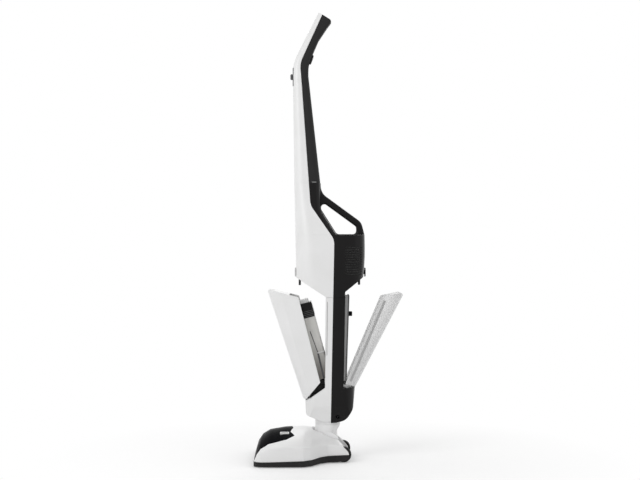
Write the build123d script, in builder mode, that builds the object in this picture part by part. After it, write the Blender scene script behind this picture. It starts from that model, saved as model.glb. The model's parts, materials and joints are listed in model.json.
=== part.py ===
from build123d import *
import os
from math import cos, radians, sin, tan

os.makedirs("parts", exist_ok=True)

# The machine stands upright, nose towards -X, its left side towards -Y, the floor at Z = 0.
# All sizes are in millimetres and degrees.

# Walls and clearances
WALL = 2.5                  # shells of the upright body
HEAD_WALL = 3.0             # shell of the floor head
SEAM = 0.3                  # gap between fixed shells
RUN = 0.05                  # radial clearance of a shaft or pin in its bore
PLAY = 0.5                  # gap beside a part that moves
BEYOND = 240.0              # reach of a cut that goes past every face

# Heights of the upright body
WAIST = 687.0               # handle meets body
SHOULDER = 558.5            # flat top of the motor housing
COLUMN_TOP = 405.0          # underside of the motor housing at the column
FOOT_TOP = 182.0            # ledge that carries the rear cup

# Handle
HANDLE_FRONT = -92.5
BEND_HEIGHT = 988.0
GRIP_LEAN = 27.0
BEND_REACH = 22.0           # half the height over which the handle bends
BEND_STEPS = 6
GRIP_LOW = 956.0
GRIP_MIDDLE = 1042.0
GRIP_FLARE = 1075.0
GRIP_TOP = 1113.0
GRIP_DEPTH = 38.5
GRIP_MIDDLE_DEPTH = 36.0
GRIP_FLARE_DEPTH = 41.0
GRIP_END_DEPTH = 52.0
GRIP_HALF_WIDTH = 17.0
GRIP_END_SLOPE = 32.0
WAIST_DEPTH = 65.0
WAIST_HALF_WIDTH = 28.0
FRONT_TAPER = 0.022         # drift of the front face towards the rear, per mm downwards
TAPER_START = 836.0
FRONT_ROUNDING = 0.85       # front corner radius over half width
GRIP_ROUNDING = 0.6         # rear corner radius over half width, handle only

# Body and motor housing
SHOULDER_BACK = 16.0
SHOULDER_HALF_WIDTH = 50.0
SHOULDER_ROUND = 12.0
LOOP_FOOT = 621.0           # where the rear of the body turns out under the carry loop
HOUSING_BELLY = 5.0         # swell of the rear face between its edges
HOUSING_STEPS = 6
HOUSING_TOP_BACK = 86.0
HOUSING_BOTTOM_BACK = 74.0
HOUSING_HALF_WIDTH = 55.0
HOUSING_ROUND = 34.0
UNDERSIDE_FRONT = 452.0     # height of the underside at the front face
UNDERSIDE_FRONT_X = -82.0
UNDERSIDE_REAR = 453.0
UNDERSIDE_REAR_X = 80.6
UNDERSIDE_STEP = 418.0      # height of the underside behind the column

# Seam between the white front shells and the dark rear shells
SEAM_BEND = (-74.5, 986.0)
SEAM_LEAN = 24.6
SEAM_WAIST = (-48.5, 632.0)
SEAM_HOUSING = (10.3, 547.0)
SEAM_FOOT_X = 0.0
SEAM_BEND_ROUND = 60.0
SEAM_ROUND = 38.0

# Carry loop
LOOP_BAR = 17.0
LOOP_HALF_WIDTH = 15.0
LOOP_TOP = (-24.0, 665.0)
LOOP_CORNER = (78.0, 590.5)
LOOP_EDGE_ROUND = 6.0
LOOP_LEG = 21.0             # depth of the loop's rear leg
LOOP_ROOT = 16.0            # reach of the loop's blank into the shells that trim it
LOOP_LIP = 1.2              # thickness of the loop where it runs out on the body
LOOP_FLANGE = 2.0           # thickness of the loop along the body and the housing
LOOP_FLARE_ROUND = 34.0
LOOP_CORNER_ROUND = 30.0
LOOP_HOLE_ROUND = 8.0
LOOP_HOLE_FOOT_ROUND = 11.0

# Column between the two containers
COLUMN_FRONT_TOP = -10.0
COLUMN_FRONT_FOOT = -12.5
COLUMN_BACK_TOP = 37.0
COLUMN_BACK_FOOT = 33.0
COLUMN_HALF_WIDTH_TOP = 54.0
COLUMN_HALF_WIDTH_FOOT = 52.0
BAY_HALF_WIDTH = 40.0
BAY_BOTTOM = 187.0
DUCT_COVER_FRONT = 19.5
DUCT_COVER_THICKNESS = 2.5

# Foot of the body
FOOT_FRONT = -61.5
FOOT_BACK = 61.5
FOOT_BOTTOM = 89.5
FOOT_NOTCH = 147.2          # front edge of the sloping floor under the front bin
FOOT_FRONT_ROUND = 38.0
FOOT_BACK_ROUND = 34.0
FOOT_HIP = (5.0, 54.0)      # rear bend of the foot, in from its top rear edge
FOOT_HEEL = (22.0, 11.0)    # lower rear bend, in from the rear and up from the bottom
FOOT_TOE = (2.0, 34.0)      # front bend, in from the front and down from the notch
FOOT_WAIST = 3.0            # how much the sides draw in at half height
FOOT_BEND_ROUND = 30.0
FOOT_TOE_ROUND = 8.0
FOOT_BELLY_ROUND = 60.0
FOOT_EDGE_ROUND = 16.0
HINGE_PIN_RADIUS = 2.0
HINGE_BOSS_RADIUS = 4.5
HINGE_HALF_LENGTH = 28.0
KNUCKLE_INNER = 8.0
KNUCKLE_OUTER = 20.0
KNUCKLE_RADIUS = 4.0
KNUCKLE_NECK = 3.2          # half thickness of the web above a knuckle

# Front bin, in its closed place
BIN_PIVOT_X = -56.5
BIN_PIVOT_Z = 146.5
BIN_OPEN = 15.0
BIN_TOP_FRONT = (-81.5, 442.0)
BIN_TOP_BACK = (COLUMN_FRONT_TOP - PLAY, 402.0)
BIN_FOOT_BACK = (COLUMN_FRONT_FOOT - PLAY, 185.0)
BIN_FOOT_FRONT = (-60.4, 152.0)
BIN_TOE = (-64.6, 159.0)
BIN_HALF_WIDTH_TOP = 54.5
BIN_HALF_WIDTH_FOOT = 51.0
BIN_ROUND = 38.0
BIN_TOP_ROUND = 5.0
BIN_TOE_ROUND = 3.0
BIN_CUP_HALF_WIDTH = 36.0
BIN_CUP_BACK = 16.5
BIN_CUP_BOTTOM = 191.0
BIN_CUP_TOP = 346.0
BIN_CUP_WALL = 2.0
FILTER_TOP = 383.0
BIN_LID_TOP = 392.0
BIN_LID_BACK = 10.0

# Rear cup, in its closed place
CUP_PIVOT_X = 57.0
CUP_PIVOT_Z = 178.5
CUP_OPEN = 22.0
CUP_TOP_FRONT = (38.0, 415.0)
CUP_TOP_BACK = (87.0, 450.0)
CUP_FOOT_BACK = (61.0, 184.5)
CUP_FOOT_FRONT = (34.0, 184.5)
CUP_HALF_WIDTH_TOP = 51.0
CUP_HALF_WIDTH_FOOT = 49.5
CUP_WALL = 2.2
CUP_ROUND = 32.0
CUP_TOP_ROUND = 7.0
CUP_FOOT_ROUND = 5.0
RIM_DEPTH = 13.0
RIM_THICKNESS = 1.2

# Seal plate on the column, inside the rear cup's mouth
PLATE_TOP = 407.5
PLATE_BOTTOM = 199.0
PLATE_TOP_DEPTH = 10.5
PLATE_BOTTOM_DEPTH = 7.5
PLATE_HALF_WIDTH = 43.8
GASKET_THICKNESS = 1.4
GASKET_WIDTH = 3.0
KNOB_HEIGHT = 362.0
KNOB_RADIUS = 6.0
KNOB_LENGTH = 9.0

# Latch bolts of the two containers
BOLT_TRAVEL = 7.0
BOLT_THICKNESS = 5.0
BOLT_HALF_WIDTH = 6.0
FRONT_BOLT_X = -78.0
FRONT_BOLT_TIP = 433.5
REAR_BOLT_X = 70.0
REAR_BOLT_TIP = 434.5
BOLT_TOP = 472.0
LATCH_PAD_BOTTOM = 455.0
LATCH_PAD_HEIGHT = 22.0
LATCH_PAD_HALF_WIDTH = 12.0
LATCH_PAD_THICKNESS = 3.0
LATCH_STEM = 10.0
LATCH_STEM_HALF_WIDTH = 4.0
HOUSING_PAD_BACK = 85.2     # rear face behind the rear latch pad
POCKET_CLEAR = 3.0          # from a bolt's tip down to its pocket's floor
POCKET_RUN = 9.0            # length of the pocket on the side that passes under the bolt
POCKET_WALL = 2.0

# Power slider and trigger
SLIDER_HEIGHT = 953.0
SLIDER_TRAVEL = 8.0
SLIDER_PLATE_HALF_HEIGHT = 22.5
SLIDER_PLATE_HALF_WIDTH = 8.0
SLIDER_PLATE_THICKNESS = 2.5
SLIDER_KNOB_HALF_HEIGHT = 7.0
SLIDER_KNOB_HALF_WIDTH = 6.5
SLIDER_KNOB_PROUD = 5.0
SLIDER_PLATE_PROUD = 0.6
SLIDER_KEEPER = 2.0         # thickness of the plate that holds the slider in
SLIDER_ROUND = 3.0
SWITCH_THICKNESS = 3.0
BOARD_BOTTOM = 890.0
BOARD_HEIGHT = 84.0
BOARD_HALF_WIDTH = 11.0
BOARD_THICKNESS = 1.6
BOARD_RIB = 3.0
SLIDER_STEM_HALF_HEIGHT = 4.5
SLIDER_STEM_HALF_WIDTH = 2.5
TRIGGER_HEIGHT = 997.0
TRIGGER_HALF_HEIGHT = 12.0
TRIGGER_HALF_WIDTH = 7.0
TRIGGER_PROUD = 4.5
TRIGGER_TILT = 19.0
TRIGGER_ROUND = 4.0
TRIGGER_FLANGE = 2.0
TRIGGER_GAP = 1.0

# Motor, fan and battery
MOTOR_X = -2.0
MOTOR_DECK = 452.0
MOTOR_DECK_THICKNESS = 3.0
MOTOR_DECK_REACH = 56.0
MOTOR_DECK_ROUND = 26.0
FAN_CASE_RADIUS = 46.0
FAN_CASE_HEIGHT = 35.0
FAN_RADIUS = 40.0
FAN_HEIGHT = 14.0
FAN_BLADES = 9
FAN_GAP = 3.0
FAN_DISC = 2.0
FAN_HUB_RADIUS = 9.0
FAN_SWEEP = 35.0
FAN_BLADE_LENGTH = 28.0
FAN_BLADE_MIDDLE = 24.0     # radius of a blade's middle
MOTOR_RADIUS = 31.0
MOTOR_HEIGHT = 46.0
MOTOR_SHAFT_RADIUS = 3.0
MOTOR_EASE = 1.5
FAN_INLET_RADIUS = 20.0
CELL_RADIUS = 9.2
CELL_LENGTH = 65.0
CELL_PITCH = 19.4
CELL_ROW_X = -67.0
HOLDER_THICKNESS = 4.0
HOLDER_EDGE = 1.2
DECK = 3.0                  # floor under the battery
CELL_SOCKET = 2.0
EXHAUST_THICKNESS = 4.0
EXHAUST_EDGE = 2.0          # reach of the exhaust filter past the vents
VENT_COUNT = 12
VENT_PITCH = 6.0
VENT_HEIGHT = 2.0
VENT_BOTTOM = 462.0
VENT_FRONT = 37.0
SOCKET_X = 18.5
SOCKET_HEIGHT = 109.0
SOCKET_RADIUS = 4.5
SOCKET_BORE = 2.8
SOCKET_DEPTH = 9.0
SOCKET_LENGTH = 12.0
SOCKET_FACE = 41.0
AIRWAY_HEIGHT = 300.0
AIRWAY_RADIUS = 13.0
AIRWAY_REACH = 24.0
FRAME_WINDOWS = 4
PLEATS = 16
PLEAT_DEPTH = 8.0

# Neck and swivel
NECK_X = -6.0
TILT_HEIGHT = 44.0
NECK_RADIUS = 24.0
NECK_BORE = 18.0
NECK_FLANGE = 5.0
NECK_RING_HEIGHT = 3.0
NECK_GAP = 1.5              # gap around the drum and trunk in the head
TRUNK_FOOT = 63.0           # underside of the leaning trunk
TRUNK_LEAN = 9.0            # how far its foot lies in front of its top
TRUNK_HALF_LENGTH = 27.0
TRUNK_HALF_WIDTH = 29.0
SLOT_ROUND = 14.0           # front corners of the neck's slot in the head
DRUM_RADIUS = 27.0
DRUM_HALF_WIDTH = 31.5
TILT_PIN_RADIUS = 5.0
TILT_PIN_SEAT = 5.0
TILT_BOSS = 5.0
SWIVEL_COLLAR_RADIUS = 31.0
COLLAR_HEIGHT = 23.0

# Floor head: stations from nose to tail as (place, half width, shoulder height, crown height)
HEAD_FRONT = -183.5
HEAD_TAIL = 52.0
HEAD_HALF_WIDTH = 135.0
HEAD_CROWN = 79.0
HEAD_SHOULDER = 49.0        # height of the side walls where the top starts to bow
PEDAL_X = -112.0
PEDAL_DROP = 3.0            # crown at the pedal, below the highest crown
HEAD_STATIONS = [
    (HEAD_FRONT, HEAD_HALF_WIDTH - 17, 15, 24),
    (-178, HEAD_HALF_WIDTH - 8, 25, 43),
    (-168, HEAD_HALF_WIDTH - 2, 37, HEAD_CROWN - 21),
    (-150, HEAD_HALF_WIDTH, 46, HEAD_CROWN - 10),
    (PEDAL_X, HEAD_HALF_WIDTH, HEAD_SHOULDER, HEAD_CROWN - PEDAL_DROP),
    (-65, HEAD_HALF_WIDTH - 2, HEAD_SHOULDER, HEAD_CROWN),
    (-45, HEAD_HALF_WIDTH - 15, 46, HEAD_CROWN - 1),
    (-25, HEAD_HALF_WIDTH - 50, 45, HEAD_CROWN - 5),
    (-5, HEAD_HALF_WIDTH - 67, 44, HEAD_CROWN - 13),
    (20, HEAD_HALF_WIDTH - 70, 42, HEAD_CROWN - 24),
    (45, HEAD_HALF_WIDTH - 71, 37, HEAD_CROWN - 37),
    (HEAD_TAIL, HEAD_HALF_WIDTH - 73, 32, HEAD_CROWN - 43),
]
HEAD_WIDEST = -140.0        # the walls of stations in front of this face forwards
HEAD_EASE = 4.0
SOLE = 2.0
HEAD_SPLIT = 12.0           # top of the dark base at the nose
SPLIT_RISE = 7.0            # how much higher that edge is at the tail
BASE_PROUD = 1.5
BASE_FLOOR = 3.0
WHEEL_X = 33.0
WHEEL_RADIUS = 19.0
WHEEL_INNER = 45.0
WHEEL_WIDTH = 13.0
AXLE_RADIUS = 3.0
WHEEL_EASE = 2.0
WHEEL_TREAD = 4.0
WHEEL_DISH = 1.5
WHEEL_SHOW = 6.0            # how far a wheel stands out behind the head
DUCT_RADIUS = 17.0
SCREW_PLACES = [(-60.0, 104.0), (-20.0, 56.0)]
SCREW_RADIUS = 1.5
SCREW_LENGTH = 18.0         # reach above the base's edge at the nose
SCREW_BOSS = 4.5
SCREW_HEAD = 2.5
SCREW_HEAD_RADIUS = 3.2
WINDOW_SILL = 16.0
WINDOW_BACK = -91.0
WINDOW_NOTCH = -98.0
WINDOW_NOTCH_HALF = 47.0
WINDOW_TAIL = -87.0
WINDOW_TAIL_HALF = 76.0
WINDOW_WAIST = -107.0
WINDOW_WAIST_HALF = 99.0
WINDOW_SHOULDER = -158.0
WINDOW_HALF = 115.0
WINDOW_NOTCH_ROUND = 5.0
WINDOW_TAIL_ROUND = 3.0
WINDOW_WAIST_ROUND = 10.0
WINDOW_SHOULDER_ROUND = 12.0
WINDOW_PROUD = 0.5
PEDAL_Y = -57.0
PEDAL_HALF_LENGTH = 11.0
PEDAL_HALF_WIDTH = 8.0
PEDAL_THICKNESS = 4.0
PEDAL_PROUD = 1.5
PEDAL_ROUND = 2.5
PEDAL_POST = 4.0
PEDAL_GUIDE = 12.0          # depth of the well that guides the pedal
PEDAL_WELL_WALL = 2.0
GLIDE_DEPTH = 7.0
GLIDE_LENGTH = 78.0
GLIDE_MIDDLE = 62.0

# Brush roll and its drive
MOUTH_FRONT = -172.0
MOUTH_BACK = -118.0
CHAMBER_TOP = 48.0
BRUSH_X = -145.0
BRUSH_Z = 23.5
CORE_RADIUS = 15.0
BRISTLE_RADIUS = 22.5
BRUSH_SHAFT = 4.0
BRUSH_END_GAP = 2.5
BUSH_RADIUS = 7.0
END_WALL_INNER = 112.0
END_WALL = 6.0
END_WALL_REACH = 15.0
END_WALL_TOP = 35.0
STRIPS = 4
STRIP_START = 20.0
STRIP_WIDTH = 3.0
STRIP_DEPTH = 2.5
STRANDS = 78
STRAND = 0.9
BRUSH_MOTOR_X = -88.0
BRUSH_MOTOR_Z = 32.0
BRUSH_MOTOR_RADIUS = 14.0
BRUSH_MOTOR_LENGTH = 55.0
BRUSH_MOTOR_INNER = 54.0
CRADLE = 3.0
PINION_RADIUS = 6.0
PINION_SHAFT = 2.0
PINION_SEAT = 14.0
PULLEY_RADIUS = 9.0
BELT_WIDTH = 5.0
BELT_THICKNESS = 1.2


def outline(plane, corners, inset=0.0):
    """Closed outline on a plane from corners given as (across, up, radius), drawn in by an inset."""
    with BuildSketch(plane) as drawing:
        with BuildLine():
            Polyline([(across, up) for across, up, _ in corners], close=True)
        make_face()
        for across, up, radius in corners:
            if radius > 0:
                fillet(drawing.vertices().sort_by_distance((across, up))[0], radius)
        if inset > 0:
            offset(amount=-inset, kind=Kind.INTERSECTION)
    return drawing.sketch


def box_between(low, high):
    """Plain block between two opposite corners."""
    size = Vector(high) - Vector(low)
    middle = (Vector(high) + Vector(low)) * 0.5
    return Pos(middle) * Box(size.X, size.Y, size.Z, mode=Mode.PRIVATE)


def rod(x, z, radius, low, high):
    """Round bar along Y between two places."""
    return Pos(x, (low + high) / 2, z) * Rot(90, 0, 0) * Cylinder(radius, high - low, mode=Mode.PRIVATE)


def plan_section(height, front, back, half_width, front_round, back_round):
    """Rounded outline of a shell seen from above, at one height."""
    corners = [
        (front, -half_width, front_round),
        (back, -half_width, back_round),
        (back, half_width, back_round),
        (front, half_width, front_round),
    ]
    return outline(Plane.XY.offset(height), corners)


def front_face(height):
    """Place of the body's front face at a height."""
    into_bend = min(max(height - BEND_HEIGHT + BEND_REACH, 0.0), 2 * BEND_REACH)
    past_bend = max(height - BEND_HEIGHT - BEND_REACH, 0.0)
    lean = (into_bend ** 2 / (4 * BEND_REACH) + past_bend) * tan(radians(GRIP_LEAN))
    taper = max(0.0, TAPER_START - height) * FRONT_TAPER
    return HANDLE_FRONT + lean + taper


def upper_section(height, back, half_width, back_round, inset):
    """Section of the handle, body or motor housing, drawn in by a wall."""
    return plan_section(
        height,
        front_face(height) + inset,
        back - inset,
        half_width - inset,
        FRONT_ROUNDING * half_width - inset,
        back_round - inset,
    )


def handle_loft(inset):
    """Sections of the handle from the waist, through its bend, to past its end."""
    stations = [(WAIST, WAIST_DEPTH, WAIST_HALF_WIDTH), (GRIP_LOW, GRIP_DEPTH, GRIP_HALF_WIDTH)]
    bend_low = BEND_HEIGHT - BEND_REACH
    for step in range(1, BEND_STEPS + 1):
        stations.append((bend_low + 2 * BEND_REACH * step / BEND_STEPS, GRIP_DEPTH, GRIP_HALF_WIDTH))
    stations.append((GRIP_MIDDLE, GRIP_MIDDLE_DEPTH, GRIP_HALF_WIDTH))
    stations.append((GRIP_FLARE, GRIP_FLARE_DEPTH, GRIP_HALF_WIDTH))
    stations.append((GRIP_TOP + 2 * WALL, GRIP_END_DEPTH, GRIP_HALF_WIDTH))
    return [
        upper_section(height, front_face(height) + depth, half, GRIP_ROUNDING * half, inset)
        for height, depth, half in stations
    ]


def body_loft(inset):
    """Sections of the body between the motor housing and the waist."""
    waist_back = front_face(WAIST) + WAIST_DEPTH
    waist_round = GRIP_ROUNDING * WAIST_HALF_WIDTH
    widening = (SHOULDER_HALF_WIDTH - WAIST_HALF_WIDTH) / (WAIST - SHOULDER)
    slope = (waist_back - SHOULDER_BACK) / (LOOP_FOOT - SHOULDER)
    turn = (LOOP_FOOT - SHOULDER) / 6
    stations = [
        (SHOULDER, SHOULDER_BACK, SHOULDER_ROUND),
        (LOOP_FOOT - turn, waist_back - turn * slope, SHOULDER_ROUND),
        (LOOP_FOOT, waist_back - turn * slope / 4, SHOULDER_ROUND),
        (LOOP_FOOT + turn, waist_back, SHOULDER_ROUND),
        (WAIST, waist_back, waist_round),
    ]
    return [
        upper_section(height, back, SHOULDER_HALF_WIDTH - (height - SHOULDER) * widening, round_off, inset)
        for height, back, round_off in stations
    ]


def housing_loft(inset):
    """Sections of the motor housing from below its underside to its flat top."""
    low = COLUMN_TOP - 2 * WALL
    rise = SHOULDER - low
    stations = []
    for step in range(HOUSING_STEPS + 1):
        share = step / HOUSING_STEPS
        belly = sin(radians(180 * share))
        edge = HOUSING_BOTTOM_BACK + (HOUSING_TOP_BACK - HOUSING_BOTTOM_BACK) * share
        back = edge + HOUSING_BELLY * belly
        half = HOUSING_HALF_WIDTH - (HOUSING_HALF_WIDTH - SHOULDER_HALF_WIDTH) * share ** 3
        stations.append((low + rise * share, back, half))
    return [upper_section(height, back, half, HOUSING_ROUND, inset) for height, back, half in stations]


def housing_side(raise_by):
    """Side outline that trims the housing's sloping underside."""
    front_slope = (UNDERSIDE_FRONT - COLUMN_TOP) / (COLUMN_FRONT_TOP - UNDERSIDE_FRONT_X)
    rear_slope = (UNDERSIDE_REAR - UNDERSIDE_STEP) / (UNDERSIDE_REAR_X - COLUMN_BACK_TOP)
    front_reach = COLUMN_FRONT_TOP + BEYOND
    rear_reach = BEYOND - COLUMN_BACK_TOP
    corners = [
        (-BEYOND, COLUMN_TOP + front_slope * front_reach + raise_by, 0),
        (COLUMN_FRONT_TOP, COLUMN_TOP + raise_by, 0),
        (COLUMN_BACK_TOP, COLUMN_TOP + raise_by, 0),
        (COLUMN_BACK_TOP, UNDERSIDE_STEP + raise_by, 0),
        (BEYOND, UNDERSIDE_STEP + rear_slope * rear_reach + raise_by, 0),
        (BEYOND, WAIST, 0),
        (-BEYOND, WAIST, 0),
    ]
    return outline(Plane.XZ, corners)


def seam_side(shift, far):
    """Side outline on one side of the seam line, closed far out in front or behind."""
    above = GRIP_TOP + 2 * WALL
    lean_x = SEAM_BEND[0] + (above - SEAM_BEND[1]) * tan(radians(SEAM_LEAN))
    corners = [
        (lean_x + shift, above, 0),
        (SEAM_BEND[0] + shift, SEAM_BEND[1], SEAM_BEND_ROUND),
        (SEAM_WAIST[0] + shift, SEAM_WAIST[1], SEAM_ROUND),
        (SEAM_HOUSING[0] + shift, SEAM_HOUSING[1], SEAM_ROUND),
        (SEAM_FOOT_X + shift, 0, 0),
        (far, 0, 0),
        (far, above, 0),
    ]
    return outline(Plane.XZ, corners)


white_side = seam_side(-SEAM / 2, -BEYOND)
dark_side = seam_side(SEAM / 2, BEYOND)

# Envelopes of the upper shells
grip_axis = Vector(sin(radians(GRIP_END_SLOPE)), 0, cos(radians(GRIP_END_SLOPE)))
grip_end = Plane(origin=(front_face(GRIP_TOP), 0, GRIP_TOP), z_dir=grip_axis)

with BuildPart() as handle_outer:
    loft(sections=handle_loft(0), ruled=True)
    split(bisect_by=grip_end, keep=Keep.BOTTOM)

with BuildPart() as handle_inner:
    loft(sections=handle_loft(WALL), ruled=True)
    split(bisect_by=grip_end.offset(-WALL), keep=Keep.BOTTOM)

with BuildPart() as body_outer:
    loft(sections=body_loft(0), ruled=True)

with BuildPart() as body_inner:
    loft(sections=body_loft(WALL), ruled=True)

with BuildPart() as housing_outer:
    loft(sections=housing_loft(0), ruled=True)
    extrude(housing_side(0), amount=BEYOND, both=True, mode=Mode.INTERSECT)

with BuildPart() as housing_inner:
    loft(sections=housing_loft(WALL), ruled=True)
    extrude(housing_side(WALL), amount=BEYOND, both=True, mode=Mode.INTERSECT)

# Power slider, trigger and control board in the handle
plate_outer = HANDLE_FRONT - SLIDER_PLATE_PROUD
plate_inner = plate_outer + SLIDER_PLATE_THICKNESS
keeper_front = plate_inner + PLAY
keeper_back = keeper_front + SLIDER_KEEPER
switch_front = keeper_back + PLAY
board_front = switch_front + SWITCH_THICKNESS
slot_half_height = SLIDER_STEM_HALF_HEIGHT + SLIDER_TRAVEL + PLAY
trigger_back = front_face(TRIGGER_HEIGHT) + GRIP_DEPTH
trigger_axis = Vector(cos(radians(TRIGGER_TILT)), 0, -sin(radians(TRIGGER_TILT)))
trigger_plane = Plane(origin=(trigger_back, 0, TRIGGER_HEIGHT), x_dir=(0, 1, 0), z_dir=trigger_axis)

with BuildPart() as handle_front:
    add(handle_outer.part)
    add(handle_inner.part, mode=Mode.SUBTRACT)
    extrude(white_side, amount=BEYOND, both=True, mode=Mode.INTERSECT)
    with BuildSketch(Plane.YZ.offset(HANDLE_FRONT - WALL)):
        with Locations((0, SLIDER_HEIGHT)):
            Rectangle(2 * (SLIDER_PLATE_HALF_WIDTH + SEAM), 2 * (SLIDER_PLATE_HALF_HEIGHT + SEAM))
    extrude(amount=3 * WALL, mode=Mode.SUBTRACT)
    with BuildSketch(Plane.YZ.offset(HANDLE_FRONT + WALL / 2)):
        with Locations((0, BOARD_BOTTOM + BOARD_RIB), (0, BOARD_BOTTOM + 5 * BOARD_RIB)):
            Rectangle(2 * BOARD_HALF_WIDTH, BOARD_RIB)
    extrude(amount=board_front - HANDLE_FRONT - WALL / 2)
handle_front.part.label = "handle_front"
export_step(handle_front.part, "parts/handle_front.step")

with BuildPart() as handle_back:
    add(handle_outer.part)
    add(handle_inner.part, mode=Mode.SUBTRACT)
    extrude(dark_side, amount=BEYOND, both=True, mode=Mode.INTERSECT)
    with BuildSketch(trigger_plane):
        RectangleRounded(
            2 * (TRIGGER_HALF_WIDTH + PLAY), 2 * (TRIGGER_HALF_HEIGHT + PLAY), TRIGGER_ROUND + PLAY
        )
    extrude(amount=3 * WALL, both=True, mode=Mode.SUBTRACT)
handle_back.part.label = "handle_back"
export_step(handle_back.part, "parts/handle_back.step")

with BuildPart() as slider_plate:
    with BuildSketch(Plane.YZ.offset(plate_outer)):
        with Locations((0, SLIDER_HEIGHT)):
            RectangleRounded(2 * SLIDER_PLATE_HALF_WIDTH, 2 * SLIDER_PLATE_HALF_HEIGHT, SLIDER_ROUND)
            Rectangle(2 * (SLIDER_STEM_HALF_WIDTH + PLAY), 2 * slot_half_height, mode=Mode.SUBTRACT)
    extrude(amount=SLIDER_PLATE_THICKNESS)
slider_plate.part.label = "slider_plate"
export_step(slider_plate.part, "parts/slider_plate.step")

with BuildPart() as power_slider:
    with BuildSketch(Plane.YZ.offset(plate_outer - PLAY - SLIDER_KNOB_PROUD)):
        with Locations((0, SLIDER_HEIGHT)):
            RectangleRounded(2 * SLIDER_KNOB_HALF_WIDTH, 2 * SLIDER_KNOB_HALF_HEIGHT, SLIDER_ROUND)
    extrude(amount=SLIDER_KNOB_PROUD)
    chamfer(power_slider.faces().sort_by(Axis.X)[0].edges(), SLIDER_ROUND / 2)
    with BuildSketch(Plane.YZ.offset(plate_outer - PLAY)):
        with Locations((0, SLIDER_HEIGHT)):
            Rectangle(2 * SLIDER_STEM_HALF_WIDTH, 2 * SLIDER_STEM_HALF_HEIGHT)
    extrude(amount=keeper_back - plate_outer + PLAY)
    with BuildSketch(Plane.YZ.offset(keeper_front)):
        with Locations((0, SLIDER_HEIGHT)):
            Rectangle(2 * SLIDER_KNOB_HALF_WIDTH, 2 * SLIDER_KNOB_HALF_HEIGHT)
    extrude(amount=SLIDER_KEEPER)
power_slider.part.label = "power_slider"
export_step(power_slider.part, "parts/power_slider.step")

with BuildPart() as control_board:
    with BuildSketch(Plane.YZ.offset(board_front)):
        with Locations((0, BOARD_BOTTOM + BOARD_HEIGHT / 2)):
            Rectangle(2 * BOARD_HALF_WIDTH, BOARD_HEIGHT)
    extrude(amount=BOARD_THICKNESS)
    with BuildSketch(Plane.YZ.offset(switch_front)):
        with Locations((0, SLIDER_HEIGHT)):
            Rectangle(2 * SLIDER_STEM_HALF_WIDTH, 2 * slot_half_height)
    extrude(amount=SWITCH_THICKNESS)
control_board.part.label = "control_board"
export_step(control_board.part, "parts/control_board.step")

with BuildPart() as trigger_button:
    with BuildSketch(trigger_plane.offset(-WALL - TRIGGER_GAP - TRIGGER_FLANGE)):
        RectangleRounded(2 * TRIGGER_HALF_WIDTH, 2 * TRIGGER_HALF_HEIGHT, TRIGGER_ROUND)
    extrude(amount=WALL + TRIGGER_GAP + TRIGGER_FLANGE + TRIGGER_PROUD)
    fillet(trigger_button.faces().sort_by(Axis.X)[-1].edges(), TRIGGER_ROUND / 2)
    with BuildSketch(trigger_plane.offset(-WALL - TRIGGER_GAP - TRIGGER_FLANGE)):
        Rectangle(2 * (TRIGGER_HALF_WIDTH + TRIGGER_FLANGE), 2 * (TRIGGER_HALF_HEIGHT + TRIGGER_FLANGE))
    extrude(amount=TRIGGER_FLANGE)
trigger_button.part.label = "trigger_button"
export_step(trigger_button.part, "parts/trigger_button.step")

# Body, battery and carry loop
battery_floor = SHOULDER + DECK
cell_bottom = battery_floor + HOLDER_THICKNESS - CELL_SOCKET
cell_top = cell_bottom + CELL_LENGTH
cell_x = [CELL_ROW_X, CELL_ROW_X + CELL_PITCH]
cell_y = [-CELL_PITCH, 0, CELL_PITCH]
cell_places = [(x, y) for x in cell_x for y in cell_y]
holder_x = CELL_ROW_X + CELL_PITCH / 2
holder_depth = CELL_PITCH + 2 * CELL_RADIUS + 2 * HOLDER_EDGE
holder_width = 2 * CELL_PITCH + 2 * CELL_RADIUS + 2 * HOLDER_EDGE

deck_section = upper_section(SHOULDER, SHOULDER_BACK, SHOULDER_HALF_WIDTH, SHOULDER_ROUND, WALL / 2)

with BuildPart() as body_front:
    add(body_outer.part)
    add(body_inner.part, mode=Mode.SUBTRACT)
    extrude(deck_section, amount=DECK)
    extrude(white_side, amount=BEYOND, both=True, mode=Mode.INTERSECT)
body_front.part.label = "body_front"
export_step(body_front.part, "parts/body_front.step")

with BuildPart() as body_back:
    add(body_outer.part)
    add(body_inner.part, mode=Mode.SUBTRACT)
    extrude(dark_side, amount=BEYOND, both=True, mode=Mode.INTERSECT)
    split(bisect_by=Plane.XY.offset(SHOULDER + SEAM), keep=Keep.TOP)
body_back.part.label = "body_back"
export_step(body_back.part, "parts/body_back.step")

with BuildPart() as battery_cells:
    with BuildSketch(Plane.XY.offset(cell_bottom)):
        with Locations(cell_places):
            Circle(CELL_RADIUS)
    extrude(amount=CELL_LENGTH)
battery_cells.part.label = "battery_cells"
export_step(battery_cells.part, "parts/battery_cells.step")

with BuildPart() as battery_holder:
    with BuildSketch(Plane.XY.offset(battery_floor), Plane.XY.offset(cell_top - CELL_SOCKET)):
        with Locations((holder_x, 0)):
            RectangleRounded(holder_depth, holder_width, CELL_RADIUS + HOLDER_EDGE)
    extrude(amount=HOLDER_THICKNESS)
    with BuildSketch(Plane.XY.offset(cell_bottom)):
        with Locations(cell_places):
            Circle(CELL_RADIUS + SEAM)
    extrude(amount=CELL_LENGTH, mode=Mode.SUBTRACT)
battery_holder.part.label = "battery_holder"
export_step(battery_holder.part, "parts/battery_holder.step")

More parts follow.
